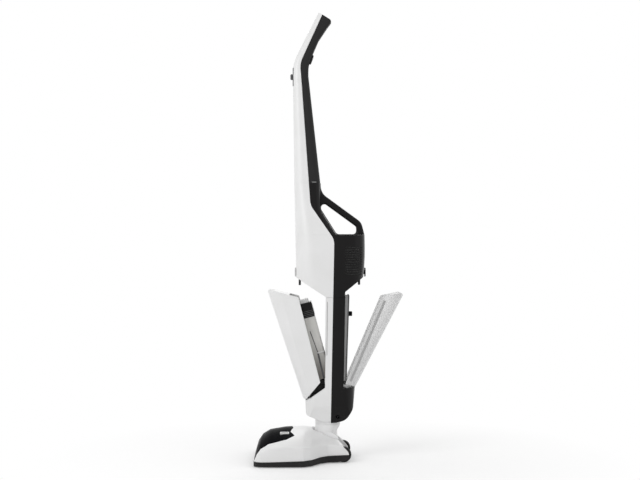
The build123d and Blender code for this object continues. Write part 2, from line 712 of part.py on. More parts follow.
loop_slope = (LOOP_TOP[1] - LOOP_CORNER[1]) / (LOOP_CORNER[0] - LOOP_TOP[0])
loop_drop = LOOP_BAR * (1 + loop_slope ** 2) ** 0.5
loop_back = front_face(WAIST) + WAIST_DEPTH
loop_lip_x = loop_back + LOOP_LIP
loop_flange_x = loop_back + LOOP_FLANGE
loop_leg_x = HOUSING_TOP_BACK - LOOP_LEG
loop_floor = SHOULDER + SEAM + LOOP_FLANGE


def loop_bar_top(x):
    """Height of the carry bar's upper edge at a place."""
    return LOOP_TOP[1] - loop_slope * (x - LOOP_TOP[0])


loop_corners = [
    (loop_back - LOOP_ROOT, WAIST - SEAM, 0),
    (loop_lip_x, WAIST - SEAM, 0),
    (loop_lip_x, loop_bar_top(loop_lip_x), LOOP_FLARE_ROUND),
    (LOOP_CORNER[0], LOOP_CORNER[1], LOOP_CORNER_ROUND),
    (HOUSING_TOP_BACK, SHOULDER, 0),
    (HOUSING_TOP_BACK, SHOULDER - LOOP_ROOT, 0),
    (loop_back - LOOP_ROOT, SHOULDER - LOOP_ROOT, 0),
]
hole_corners = [
    (loop_flange_x, loop_bar_top(loop_flange_x) - loop_drop, LOOP_HOLE_ROUND),
    (loop_leg_x, loop_bar_top(loop_leg_x) - loop_drop, LOOP_HOLE_ROUND),
    (loop_leg_x, loop_floor, LOOP_HOLE_ROUND),
    (SHOULDER_BACK + LOOP_FLANGE / 2, loop_floor, LOOP_HOLE_FOOT_ROUND),
    (loop_flange_x, LOOP_FOOT + LOOP_FLANGE, LOOP_HOLE_FOOT_ROUND),
]

with BuildPart() as carry_handle:
    extrude(outline(Plane.XZ, loop_corners), amount=LOOP_HALF_WIDTH, both=True)
    extrude(outline(Plane.XZ, hole_corners), amount=LOOP_HALF_WIDTH, both=True, mode=Mode.SUBTRACT)
    fillet(carry_handle.faces().filter_by(Axis.Y).edges(), LOOP_EDGE_ROUND)
    split(bisect_by=Plane.XY.offset(SHOULDER + SEAM), keep=Keep.TOP)
    add(body_outer.part, mode=Mode.SUBTRACT)
carry_handle.part.label = "carry_handle"
export_step(carry_handle.part, "parts/carry_handle.step")

# Motor housing, with the two latch bolts that slide in it
pad_low = LATCH_PAD_BOTTOM + (LATCH_PAD_HEIGHT - LATCH_STEM) / 2
stem_top = pad_low + LATCH_STEM
front_pad_face = front_face(pad_low) - PLAY
rear_pad_face = HOUSING_PAD_BACK + PLAY


def latch_room(bolt_x, wall_low, wall_high):
    """Room that a latch bolt and its stem sweep through a housing shell."""
    stem_room = box_between(
        (wall_low, -LATCH_STEM_HALF_WIDTH - PLAY, pad_low - BOLT_TRAVEL - PLAY),
        (wall_high, LATCH_STEM_HALF_WIDTH + PLAY, stem_top + PLAY),
    )
    bolt_room = box_between(
        (bolt_x - PLAY, -BOLT_HALF_WIDTH - PLAY, COLUMN_TOP),
        (bolt_x + BOLT_THICKNESS + PLAY, BOLT_HALF_WIDTH + PLAY, BOLT_TOP),
    )
    return [stem_room, bolt_room]


with BuildPart() as housing_front:
    add(housing_outer.part)
    add(housing_inner.part, mode=Mode.SUBTRACT)
    extrude(white_side, amount=BEYOND, both=True, mode=Mode.INTERSECT)
    add(latch_room(FRONT_BOLT_X, -BEYOND, FRONT_BOLT_X), mode=Mode.SUBTRACT)
housing_front.part.label = "housing_front"
export_step(housing_front.part, "parts/housing_front.step")

with BuildPart() as housing_room:
    add(housing_inner.part)
    split(bisect_by=Plane.XY.offset(SHOULDER - WALL), keep=Keep.BOTTOM)

with BuildPart() as filter_room:
    loft(sections=housing_loft(WALL + PLAY + EXHAUST_THICKNESS), ruled=True)

vent_top = VENT_BOTTOM + (VENT_COUNT - 1) * VENT_PITCH
exhaust_low = VENT_BOTTOM - VENT_HEIGHT / 2 - EXHAUST_EDGE
exhaust_high = vent_top + VENT_HEIGHT / 2 + EXHAUST_EDGE
exhaust_front = VENT_FRONT - EXHAUST_EDGE
exhaust_rail = box_between((exhaust_front, -BEYOND, exhaust_low - WALL), (BEYOND, BEYOND, exhaust_low))
vent_back = HOUSING_TOP_BACK - HOUSING_ROUND / 4
vent_middle = (VENT_FRONT + vent_back) / 2

with BuildPart() as motor_housing:
    add(housing_outer.part)
    add(housing_room.part, mode=Mode.SUBTRACT)
    add((exhaust_rail & housing_outer.part) - filter_room.part)
    extrude(dark_side, amount=BEYOND, both=True, mode=Mode.INTERSECT)
    with BuildSketch(Plane.XZ):
        for step in range(VENT_COUNT):
            with Locations((vent_middle, VENT_BOTTOM + step * VENT_PITCH)):
                Rectangle(vent_back - VENT_FRONT, VENT_HEIGHT)
    extrude(amount=BEYOND, both=True, mode=Mode.SUBTRACT)
    add(latch_room(REAR_BOLT_X, REAR_BOLT_X, BEYOND), mode=Mode.SUBTRACT)
motor_housing.part.label = "motor_housing"
export_step(motor_housing.part, "parts/motor_housing.step")


def latch_bolt(bolt_x, tip, pad_near, pad_far):
    """Bolt, stem and thumb pad of one latch."""
    bolt = box_between(
        (bolt_x, -BOLT_HALF_WIDTH, tip),
        (bolt_x + BOLT_THICKNESS, BOLT_HALF_WIDTH, BOLT_TOP - BOLT_TRAVEL),
    )
    stem = box_between(
        (min(bolt_x, pad_near), -LATCH_STEM_HALF_WIDTH, pad_low),
        (max(bolt_x, pad_near), LATCH_STEM_HALF_WIDTH, stem_top),
    )
    pad = box_between(
        (min(pad_near, pad_far), -LATCH_PAD_HALF_WIDTH, LATCH_PAD_BOTTOM),
        (max(pad_near, pad_far), LATCH_PAD_HALF_WIDTH, LATCH_PAD_BOTTOM + LATCH_PAD_HEIGHT),
    )
    return [bolt, stem, pad]


with BuildPart() as front_latch:
    add(latch_bolt(FRONT_BOLT_X, FRONT_BOLT_TIP, front_pad_face, front_pad_face - LATCH_PAD_THICKNESS))
    fillet(front_latch.faces().sort_by(Axis.X)[0].edges(), LATCH_PAD_THICKNESS / 2)
front_latch.part.label = "front_latch"
export_step(front_latch.part, "parts/front_latch.step")

with BuildPart() as rear_latch:
    add(latch_bolt(REAR_BOLT_X, REAR_BOLT_TIP, rear_pad_face, rear_pad_face + LATCH_PAD_THICKNESS))
    fillet(rear_latch.faces().sort_by(Axis.X)[-1].edges(), LATCH_PAD_THICKNESS / 2)
rear_latch.part.label = "rear_latch"
export_step(rear_latch.part, "parts/rear_latch.step")

# Fan and motor
deck_top = MOTOR_DECK + MOTOR_DECK_THICKNESS
motor_bottom = deck_top + FAN_CASE_HEIGHT
motor_top = motor_bottom + MOTOR_HEIGHT
fan_bottom = deck_top + WALL + FAN_GAP
shaft_bottom = fan_bottom - FAN_GAP / 2

with BuildPart() as motor_deck:
    with BuildSketch(Plane.XY.offset(MOTOR_DECK)):
        with Locations((MOTOR_X, 0)):
            RectangleRounded(2 * MOTOR_DECK_REACH, 2 * (HOUSING_HALF_WIDTH - WALL - PLAY), MOTOR_DECK_ROUND)
            Circle(FAN_INLET_RADIUS, mode=Mode.SUBTRACT)
    extrude(amount=MOTOR_DECK_THICKNESS)
motor_deck.part.label = "motor_deck"
export_step(motor_deck.part, "parts/motor_deck.step")

with BuildPart() as fan_case:
    with BuildSketch(Plane.XY.offset(deck_top)):
        with Locations((MOTOR_X, 0)):
            Circle(FAN_CASE_RADIUS)
    extrude(amount=FAN_CASE_HEIGHT)
    with BuildSketch(Plane.XY.offset(deck_top + WALL)):
        with Locations((MOTOR_X, 0)):
            Circle(FAN_CASE_RADIUS - WALL)
    extrude(amount=FAN_CASE_HEIGHT - 2 * WALL, mode=Mode.SUBTRACT)
    with BuildSketch(Plane.XY.offset(deck_top)):
        with Locations((MOTOR_X, 0)):
            Circle(FAN_INLET_RADIUS)
    extrude(amount=FAN_CASE_HEIGHT, mode=Mode.SUBTRACT)
fan_case.part.label = "fan_case"
export_step(fan_case.part, "parts/fan_case.step")

with BuildPart() as motor_can:
    with BuildSketch(Plane.XY.offset(motor_bottom)):
        with Locations((MOTOR_X, 0)):
            Circle(MOTOR_RADIUS)
            Circle(MOTOR_SHAFT_RADIUS + RUN, mode=Mode.SUBTRACT)
    extrude(amount=MOTOR_HEIGHT)
    chamfer(motor_can.edges().filter_by(GeomType.CIRCLE).sort_by(Axis.Z)[-2:], MOTOR_EASE)
motor_can.part.label = "motor_can"
export_step(motor_can.part, "parts/motor_can.step")

with BuildPart() as motor_shaft:
    with BuildSketch(Plane.XY.offset(shaft_bottom)):
        with Locations((MOTOR_X, 0)):
            Circle(MOTOR_SHAFT_RADIUS)
    extrude(amount=motor_top - shaft_bottom - FAN_GAP)
motor_shaft.part.label = "motor_shaft"
export_step(motor_shaft.part, "parts/motor_shaft.step")

with BuildPart() as fan_impeller:
    with BuildSketch(Plane.XY.offset(fan_bottom)):
        with Locations((MOTOR_X, 0)):
            Circle(FAN_RADIUS)
    extrude(amount=FAN_DISC)
    with BuildSketch(Plane.XY.offset(fan_bottom + FAN_DISC)):
        with Locations((MOTOR_X, 0)):
            with PolarLocations(FAN_BLADE_MIDDLE, FAN_BLADES):
                Rectangle(FAN_BLADE_LENGTH, FAN_DISC, rotation=FAN_SWEEP)
    extrude(amount=FAN_HEIGHT - FAN_DISC)
    with BuildSketch(Plane.XY.offset(fan_bottom)):
        with Locations((MOTOR_X, 0)):
            Circle(FAN_HUB_RADIUS)
    extrude(amount=FAN_HEIGHT)
    with BuildSketch(Plane.XY.offset(fan_bottom)):
        with Locations((MOTOR_X, 0)):
            Circle(MOTOR_SHAFT_RADIUS + RUN)
    extrude(amount=FAN_HEIGHT, mode=Mode.SUBTRACT)
fan_impeller.part.label = "fan_impeller"
export_step(fan_impeller.part, "parts/fan_impeller.step")

with BuildPart() as exhaust_filter:
    loft(sections=housing_loft(WALL + PLAY), ruled=True)
    add(filter_room.part, mode=Mode.SUBTRACT)
    add(
        box_between((exhaust_front, -BEYOND, exhaust_low), (BEYOND, BEYOND, exhaust_high)),
        mode=Mode.INTERSECT,
    )
    add(
        box_between(
            (exhaust_front, -BOLT_HALF_WIDTH - 2 * PLAY, exhaust_low),
            (BEYOND, BOLT_HALF_WIDTH + 2 * PLAY, stem_top + 2 * PLAY),
        ),
        mode=Mode.SUBTRACT,
    )
exhaust_filter.part.label = "exhaust_filter"
export_step(exhaust_filter.part, "parts/exhaust_filter.step")

# Column and foot, the spine between the two containers
def column_section(height, front, back, half_width, inset):
    """Plain outline of the column at one height."""
    return plan_section(height, front + inset, back - inset, half_width - inset, 0, 0)


foot_middle_z = (FOOT_TOP + FOOT_BOTTOM) / 2
foot_side_corners = [
    (FOOT_BACK, FOOT_TOP, 0),
    (FOOT_BACK - FOOT_HIP[0], FOOT_TOP - FOOT_HIP[1], FOOT_BEND_ROUND),
    (FOOT_BACK - FOOT_HEEL[0], FOOT_BOTTOM + FOOT_HEEL[1], FOOT_BEND_ROUND),
    (SEAM_FOOT_X, FOOT_BOTTOM, FOOT_BELLY_ROUND),
    (FOOT_FRONT + FOOT_TOE[0], FOOT_NOTCH - FOOT_TOE[1], FOOT_TOE_ROUND),
    (FOOT_FRONT, FOOT_NOTCH, 0),
    (COLUMN_FRONT_FOOT, FOOT_TOP, 0),
]
foot_face_corners = [
    (-COLUMN_HALF_WIDTH_FOOT, FOOT_TOP, 0),
    (-COLUMN_HALF_WIDTH_FOOT + FOOT_WAIST, foot_middle_z, FOOT_BEND_ROUND),
    (-SWIVEL_COLLAR_RADIUS - WALL, FOOT_BOTTOM, FOOT_EDGE_ROUND),
    (SWIVEL_COLLAR_RADIUS + WALL, FOOT_BOTTOM, FOOT_EDGE_ROUND),
    (COLUMN_HALF_WIDTH_FOOT - FOOT_WAIST, foot_middle_z, FOOT_BEND_ROUND),
    (COLUMN_HALF_WIDTH_FOOT, FOOT_TOP, 0),
]


def foot_body(inset):
    """Foot of the body, three outlines brought together, drawn in by a wall."""
    with BuildPart() as foot:
        extrude(
            plan_section(
                FOOT_BOTTOM - WALL,
                FOOT_FRONT + inset,
                FOOT_BACK - inset,
                COLUMN_HALF_WIDTH_FOOT - inset,
                FOOT_FRONT_ROUND - inset,
                FOOT_BACK_ROUND - inset,
            ),
            amount=FOOT_TOP - FOOT_BOTTOM + 2 * WALL,
        )
        extrude(outline(Plane.XZ, foot_side_corners, inset), amount=BEYOND, both=True, mode=Mode.INTERSECT)
        extrude(outline(Plane.YZ, foot_face_corners, inset), amount=BEYOND, both=True, mode=Mode.INTERSECT)
    return foot.part


foot_outer = foot_body(0)
foot_inner = foot_body(WALL)
column_head = COLUMN_TOP - SEAM
bay_top = column_head - WALL
bay_floor = FOOT_TOP + WALL

with BuildPart() as spine_outer:
    loft(
        sections=[
            column_section(FOOT_TOP, COLUMN_FRONT_FOOT, COLUMN_BACK_FOOT, COLUMN_HALF_WIDTH_FOOT, 0),
            column_section(column_head, COLUMN_FRONT_TOP, COLUMN_BACK_TOP, COLUMN_HALF_WIDTH_TOP, 0),
        ],
        ruled=True,
    )
    add(foot_outer)

with BuildPart() as spine_inner:
    loft(
        sections=[
            column_section(bay_floor, COLUMN_FRONT_FOOT, COLUMN_BACK_FOOT, COLUMN_HALF_WIDTH_FOOT, WALL),
            column_section(bay_top, COLUMN_FRONT_TOP, COLUMN_BACK_TOP, COLUMN_HALF_WIDTH_TOP, WALL),
        ],
        ruled=True,
    )
    add(foot_inner)

swivel_depth = COLLAR_HEIGHT + NECK_RING_HEIGHT + WALL
swivel_bar = Cylinder(SWIVEL_COLLAR_RADIUS + SEAM, 2 * swivel_depth, mode=Mode.PRIVATE)
swivel_hole = Pos(NECK_X, 0, FOOT_BOTTOM) * swivel_bar


def hinge_boss(pivot_x, pivot_z):
    """Round boss for a hinge pin, kept inside the foot's outline."""
    return rod(pivot_x, pivot_z, HINGE_BOSS_RADIUS, -HINGE_HALF_LENGTH, HINGE_HALF_LENGTH) & foot_outer


def hinge_cuts(pivot_x, pivot_z, near, far):
    """Notches for the two knuckles and the bore for the pin."""
    room = KNUCKLE_RADIUS + PLAY
    cuts = [rod(pivot_x, pivot_z, HINGE_PIN_RADIUS + RUN, -HINGE_HALF_LENGTH, HINGE_HALF_LENGTH)]
    for side in (-1, 1):
        inner = side * (KNUCKLE_INNER - PLAY)
        outer = side * (KNUCKLE_OUTER + PLAY)
        cuts.append(
            box_between(
                (min(near, far), min(inner, outer), pivot_z - room),
                (max(near, far), max(inner, outer), FOOT_TOP + WALL),
            )
        )
    return cuts


bin_notch_back = BIN_PIVOT_X + KNUCKLE_RADIUS + PLAY
cup_notch_front = CUP_PIVOT_X - KNUCKLE_RADIUS - PLAY

with BuildPart() as column_front:
    add(spine_outer.part)
    add(spine_inner.part, mode=Mode.SUBTRACT)
    add(hinge_boss(BIN_PIVOT_X, BIN_PIVOT_Z))
    extrude(white_side, amount=BEYOND, both=True, mode=Mode.INTERSECT)
    add(
        box_between(
            (COLUMN_FRONT_FOOT - WALL, -BAY_HALF_WIDTH, BAY_BOTTOM),
            (DUCT_COVER_FRONT, BAY_HALF_WIDTH, bay_top),
        ),
        mode=Mode.SUBTRACT,
    )
    add(hinge_cuts(BIN_PIVOT_X, BIN_PIVOT_Z, -BEYOND, bin_notch_back), mode=Mode.SUBTRACT)
    add(swivel_hole, mode=Mode.SUBTRACT)
column_front.part.label = "column_front"
export_step(column_front.part, "parts/column_front.step")

socket_hole = rod(SOCKET_X, SOCKET_HEIGHT, SOCKET_RADIUS + SEAM, -BEYOND, -SOCKET_FACE + SOCKET_LENGTH)
airway_bar = Cylinder(AIRWAY_RADIUS, AIRWAY_REACH, mode=Mode.PRIVATE)
airway = Pos(COLUMN_BACK_TOP, 0, AIRWAY_HEIGHT) * Rot(0, 90, 0) * airway_bar

with BuildPart() as column_back:
    add(spine_outer.part)
    add(spine_inner.part, mode=Mode.SUBTRACT)
    add(hinge_boss(CUP_PIVOT_X, CUP_PIVOT_Z))
    extrude(dark_side, amount=BEYOND, both=True, mode=Mode.INTERSECT)
    add(hinge_cuts(CUP_PIVOT_X, CUP_PIVOT_Z, cup_notch_front, BEYOND), mode=Mode.SUBTRACT)
    add(swivel_hole, mode=Mode.SUBTRACT)
    add(socket_hole, mode=Mode.SUBTRACT)
    add(airway, mode=Mode.SUBTRACT)
column_back.part.label = "column_back"
export_step(column_back.part, "parts/column_back.step")

with BuildPart() as duct_cover:
    with BuildSketch(Plane.YZ.offset(DUCT_COVER_FRONT)):
        with Locations((0, (bay_floor + bay_top) / 2)):
            Rectangle(2 * (COLUMN_HALF_WIDTH_FOOT - WALL - SEAM), bay_top - bay_floor - 2 * SEAM)
    extrude(amount=DUCT_COVER_THICKNESS)
duct_cover.part.label = "duct_cover"
export_step(duct_cover.part, "parts/duct_cover.step")

with BuildPart() as charge_socket:
    add(rod(SOCKET_X, SOCKET_HEIGHT, SOCKET_RADIUS, -SOCKET_FACE, -SOCKET_FACE + SOCKET_LENGTH))
    add(
        rod(SOCKET_X, SOCKET_HEIGHT, SOCKET_BORE, -SOCKET_FACE, -SOCKET_FACE + SOCKET_DEPTH),
        mode=Mode.SUBTRACT,
    )
charge_socket.part.label = "charge_socket"
export_step(charge_socket.part, "parts/charge_socket.step")

pin_half = HINGE_HALF_LENGTH - 2 * PLAY

with BuildPart() as bin_hinge_pin:
    add(rod(BIN_PIVOT_X, BIN_PIVOT_Z, HINGE_PIN_RADIUS, -pin_half, pin_half))
bin_hinge_pin.part.label = "bin_hinge_pin"
export_step(bin_hinge_pin.part, "parts/bin_hinge_pin.step")

with BuildPart() as cup_hinge_pin:
    add(rod(CUP_PIVOT_X, CUP_PIVOT_Z, HINGE_PIN_RADIUS, -pin_half, pin_half))
cup_hinge_pin.part.label = "cup_hinge_pin"
export_step(cup_hinge_pin.part, "parts/cup_hinge_pin.step")


# Seal plate, gasket and knob on the rear of the column
def column_back_x(height):
    """Rear face of the column at a height."""
    share = (height - FOOT_TOP) / (COLUMN_TOP - FOOT_TOP)
    return COLUMN_BACK_FOOT + (COLUMN_BACK_TOP - COLUMN_BACK_FOOT) * share


def plate_back_x(height):
    """Rear face of the seal plate at a height."""
    share = (height - PLATE_BOTTOM) / (PLATE_TOP - PLATE_BOTTOM)
    depth = PLATE_BOTTOM_DEPTH + (PLATE_TOP_DEPTH - PLATE_BOTTOM_DEPTH) * share
    return column_back_x(height) + depth


def plate_side(shallow, low, high):
    """Side outline of the seal plate or of a band along its rear edge."""
    corners = [
        (max(column_back_x(low) + SEAM, plate_back_x(low) - shallow), low, 0),
        (plate_back_x(low), low, 0),
        (plate_back_x(high), high, 0),
        (max(column_back_x(high) + SEAM, plate_back_x(high) - shallow), high, 0),
    ]
    return outline(Plane.XZ, corners)


with BuildPart() as seal_plate:
    extrude(plate_side(BEYOND, PLATE_BOTTOM, PLATE_TOP), amount=PLATE_HALF_WIDTH, both=True)
    add(airway, mode=Mode.SUBTRACT)
seal_plate.part.label = "seal_plate"
export_step(seal_plate.part, "parts/seal_plate.step")

with BuildPart() as seal_gasket:
    extrude(
        plate_side(GASKET_WIDTH, PLATE_BOTTOM - GASKET_THICKNESS, PLATE_TOP + GASKET_THICKNESS),
        amount=PLATE_HALF_WIDTH + GASKET_THICKNESS,
        both=True,
    )
    add(
        box_between((0, -PLATE_HALF_WIDTH, PLATE_BOTTOM), (BEYOND, PLATE_HALF_WIDTH, PLATE_TOP)),
        mode=Mode.SUBTRACT,
    )
seal_gasket.part.label = "seal_gasket"
export_step(seal_gasket.part, "parts/seal_gasket.step")

with BuildPart() as plate_knob:
    with BuildSketch(Plane.YZ.offset(plate_back_x(KNOB_HEIGHT) + SEAM)):
        with Locations((0, KNOB_HEIGHT)):
            Circle(KNOB_RADIUS)
    extrude(amount=KNOB_LENGTH)
    fillet(plate_knob.faces().sort_by(Axis.X)[-1].edges(), KNOB_RADIUS / 4)
plate_knob.part.label = "plate_knob"
export_step(plate_knob.part, "parts/plate_knob.step")

# Front bin, drawn in its closed place on planes that are turned open about its hinge
bin_turn = Pos(BIN_PIVOT_X, 0, BIN_PIVOT_Z) * Rot(0, -BIN_OPEN, 0) * Pos(-BIN_PIVOT_X, 0, -BIN_PIVOT_Z)
bin_side = Plane(bin_turn * Plane.XZ.location)
bin_face = Plane(bin_turn * Plane.YZ.location)
bin_low = Plane(bin_turn * Plane.XY.offset(BIN_PIVOT_Z).location)
bin_rise = BIN_TOP_FRONT[1] - BIN_PIVOT_Z


def bin_body(inset, mouth):
    """Bin envelope drawn in by a wall, its mouth moved rearwards."""
    side_corners = [
        (BIN_TOP_FRONT[0], BIN_TOP_FRONT[1], BIN_TOP_ROUND),
        (BIN_TOP_BACK[0] + mouth, BIN_TOP_BACK[1], 0),
        (BIN_FOOT_BACK[0] + mouth, BIN_FOOT_BACK[1], 0),
        (BIN_FOOT_FRONT[0], BIN_FOOT_FRONT[1], 0),
        (BIN_TOE[0], BIN_TOE[1], BIN_TOE_ROUND),
    ]
    face_corners = [
        (-BIN_HALF_WIDTH_FOOT, BIN_PIVOT_Z, 0),
        (BIN_HALF_WIDTH_FOOT, BIN_PIVOT_Z, 0),
        (BIN_HALF_WIDTH_TOP, BIN_TOP_FRONT[1] + 2 * WALL, 0),
        (-BIN_HALF_WIDTH_TOP, BIN_TOP_FRONT[1] + 2 * WALL, 0),
    ]
    plan_corners = [
        (BIN_TOP_FRONT[0], -BIN_HALF_WIDTH_TOP, BIN_ROUND),
        (BEYOND, -BIN_HALF_WIDTH_TOP, 0),
        (BEYOND, BIN_HALF_WIDTH_TOP, 0),
        (BIN_TOP_FRONT[0], BIN_HALF_WIDTH_TOP, BIN_ROUND),
    ]
    lean = (BIN_TOE[0] - BIN_TOP_FRONT[0]) / (BIN_TOP_FRONT[1] - BIN_TOE[1])
    foot_shift = lean * bin_rise
    low_corners = [(x + foot_shift if x < 0 else x, y, radius) for x, y, radius in plan_corners]
    with BuildPart() as envelope:
        foot_plan = outline(bin_low, low_corners, inset)
        top_plan = outline(bin_low.offset(bin_rise), plan_corners, inset)
        loft(sections=[foot_plan, top_plan], ruled=True)
        extrude(outline(bin_side, side_corners, inset), amount=BEYOND, both=True, mode=Mode.INTERSECT)
        extrude(outline(bin_face, face_corners, inset), amount=BEYOND, both=True, mode=Mode.INTERSECT)
    return envelope.part


def latch_pocket(bolt_x, tip, open_by, wall):
    """Block and hollow around a latch bolt, in a container's closed place."""
    low_x = bolt_x - PLAY - max(-open_by, PLAY)
    high_x = bolt_x + BOLT_THICKNESS + PLAY + max(open_by, PLAY)
    half = BOLT_HALF_WIDTH + 2 * PLAY
    return box_between(
        (low_x - wall, -half - wall, tip - POCKET_CLEAR - wall),
        (high_x + wall, half + wall, BOLT_TOP),
    )


def bolt_hole(bolt_x, tip):
    """Hole in a pocket's floor that the bolt drops into."""
    half = BOLT_HALF_WIDTH + PLAY
    return box_between(
        (bolt_x - PLAY, -half, tip - BOLT_TRAVEL - 2 * POCKET_CLEAR),
        (bolt_x + BOLT_THICKNESS + PLAY, half, tip),
    )


def knuckles(pivot_x, pivot_z, top):
    """Two hinge knuckles that rise from a pin to a container's floor."""
    pieces = []
    for side in (-1, 1):
        low, high = sorted((side * KNUCKLE_INNER, side * KNUCKLE_OUTER))
        web = box_between((pivot_x - KNUCKLE_NECK, low, pivot_z), (pivot_x + KNUCKLE_NECK, high, top))
        pieces += [rod(pivot_x, pivot_z, KNUCKLE_RADIUS, low, high), web]
    return pieces


def bin_floor(x):
    """Height of the bin's sloping floor at a place."""
    slope = (BIN_FOOT_BACK[1] - BIN_FOOT_FRONT[1]) / (BIN_FOOT_BACK[0] - BIN_FOOT_FRONT[0])
    return BIN_FOOT_FRONT[1] + slope * (x - BIN_FOOT_FRONT[0])


bin_pin_bore = rod(BIN_PIVOT_X, BIN_PIVOT_Z, HINGE_PIN_RADIUS + RUN, -HINGE_HALF_LENGTH, HINGE_HALF_LENGTH)
bin_envelope = bin_body(0, 0)
bin_hollow = bin_body(WALL, 3 * WALL)

with BuildPart() as bin_cover:
    add(bin_envelope)
    add(bin_hollow, mode=Mode.SUBTRACT)
    add((bin_turn * latch_pocket(FRONT_BOLT_X, FRONT_BOLT_TIP, POCKET_RUN, POCKET_WALL)) & bin_envelope)
    add(bin_turn * latch_pocket(FRONT_BOLT_X, FRONT_BOLT_TIP, POCKET_RUN, 0), mode=Mode.SUBTRACT)
    add(bin_turn * bolt_hole(FRONT_BOLT_X, FRONT_BOLT_TIP), mode=Mode.SUBTRACT)
    add([bin_turn * piece for piece in knuckles(BIN_PIVOT_X, BIN_PIVOT_Z, bin_floor(BIN_PIVOT_X) + WALL)])
    add(bin_turn * bin_pin_bore, mode=Mode.SUBTRACT)
bin_cover.part.label = "bin_cover"
export_step(bin_cover.part, "parts/bin_cover.step")

mouth_slope = (BIN_TOP_BACK[0] - BIN_FOOT_BACK[0]) / (BIN_TOP_BACK[1] - BIN_FOOT_BACK[1])


def mouth_x(height):
    """Mouth line of the bin at a height, a little inside its rim."""
    return BIN_FOOT_BACK[0] + mouth_slope * (height - BIN_FOOT_BACK[1]) - WALL


def bin_block(low, high, back, gap):
    """Side outline of a piece that stands out of the bin's mouth."""
    corners = [
        (mouth_x(low) + gap, low, 0),
        (back, low, 0),
        (back, high, 0),
        (mouth_x(high) + gap, high, 0),
    ]
    return outline(bin_side, corners)


flange_low = BIN_FOOT_BACK[1] + 2 * WALL
flange_high = BIN_TOP_BACK[1] - 2 * WALL
flange_corners = [
    (mouth_x(flange_low), flange_low, 0),
    (mouth_x(flange_high), flange_high, 0),
    (mouth_x(flange_high) - WALL, flange_high, 0),
    (mouth_x(flange_low) - WALL, flange_low, 0),
]
flange_half = BIN_HALF_WIDTH_FOOT - WALL - SEAM
cup_room_half = BIN_CUP_HALF_WIDTH - BIN_CUP_WALL

with BuildPart() as bin_cup:
    cup_side_face = bin_block(BIN_CUP_BOTTOM, BIN_CUP_TOP, BIN_CUP_BACK, -WALL / 2)
    extrude(cup_side_face, amount=BIN_CUP_HALF_WIDTH, both=True)
    fillet(bin_cup.faces().sort_by(Axis((0, 0, 0), bin_side.x_dir))[-1].edges(), 2 * BIN_CUP_WALL)
    extrude(outline(bin_side, flange_corners), amount=flange_half, both=True)
    add(
        bin_turn * box_between(
            (-BEYOND, -cup_room_half, BIN_CUP_BOTTOM + BIN_CUP_WALL),
            (BIN_CUP_BACK - BIN_CUP_WALL, cup_room_half, BIN_CUP_TOP - BIN_CUP_WALL),
        ),
        mode=Mode.SUBTRACT,
    )
bin_cup.part.label = "bin_cup"
export_step(bin_cup.part, "parts/bin_cup.step")

filter_low = BIN_CUP_TOP + SEAM
filter_half = BIN_CUP_HALF_WIDTH - BIN_CUP_WALL
filter_back = BIN_CUP_BACK - BIN_CUP_WALL
filter_front = mouth_x(FILTER_TOP) + BIN_CUP_WALL
frame_pitch = 2 * filter_half / FRAME_WINDOWS

with BuildPart() as filter_frame:
    extrude(bin_block(filter_low, FILTER_TOP, BIN_CUP_BACK, SEAM), amount=BIN_CUP_HALF_WIDTH, both=True)
    add(
        bin_turn * box_between(
            (-BEYOND, -filter_half, filter_low + BIN_CUP_WALL),
            (filter_back, filter_half, FILTER_TOP - BIN_CUP_WALL),
        ),
        mode=Mode.SUBTRACT,
    )
    with BuildSketch(bin_face):
        with Locations((0, (filter_low + FILTER_TOP) / 2)):
            with GridLocations(frame_pitch, 0, FRAME_WINDOWS, 1):
                Rectangle(frame_pitch - 2 * BIN_CUP_WALL, FILTER_TOP - filter_low - 4 * BIN_CUP_WALL)
    extrude(amount=BEYOND, mode=Mode.SUBTRACT)
filter_frame.part.label = "filter_frame"
export_step(filter_frame.part, "parts/filter_frame.step")

with BuildPart() as filter_element:
    add(
        bin_turn * box_between(
            (filter_front, -filter_half + SEAM, filter_low + BIN_CUP_WALL + SEAM),
            (filter_back - SEAM, filter_half - SEAM, FILTER_TOP - BIN_CUP_WALL - SEAM),
        )
    )
    with BuildSketch(bin_face.offset(filter_front)):
        with Locations((0, (filter_low + FILTER_TOP) / 2)):
            with GridLocations(2 * filter_half / PLEATS, 0, PLEATS, 1):
                Rectangle(filter_half / PLEATS, FILTER_TOP - filter_low)
    extrude(amount=PLEAT_DEPTH, mode=Mode.SUBTRACT)
filter_element.part.label = "filter_element"
export_step(filter_element.part, "parts/filter_element.step")

with BuildPart() as bin_lid:
    extrude(bin_block(FILTER_TOP + SEAM, BIN_LID_TOP, BIN_LID_BACK, SEAM), amount=filter_half, both=True)
    fillet(bin_lid.faces().sort_by(Axis((0, 0, 0), bin_low.z_dir))[-1].edges(), BIN_CUP_WALL)
bin_lid.part.label = "bin_lid"
export_step(bin_lid.part, "parts/bin_lid.step")

# Rear cup, drawn in its closed place on planes that are turned open about its hinge
cup_turn = Pos(CUP_PIVOT_X, 0, CUP_PIVOT_Z) * Rot(0, CUP_OPEN, 0) * Pos(-CUP_PIVOT_X, 0, -CUP_PIVOT_Z)
cup_side = Plane(cup_turn * Plane.XZ.location)
cup_face = Plane(cup_turn * Plane.YZ.location)
cup_low = Plane(cup_turn * Plane.XY.offset(CUP_FOOT_BACK[1]).location)
cup_rise = CUP_TOP_BACK[1] - CUP_FOOT_BACK[1]


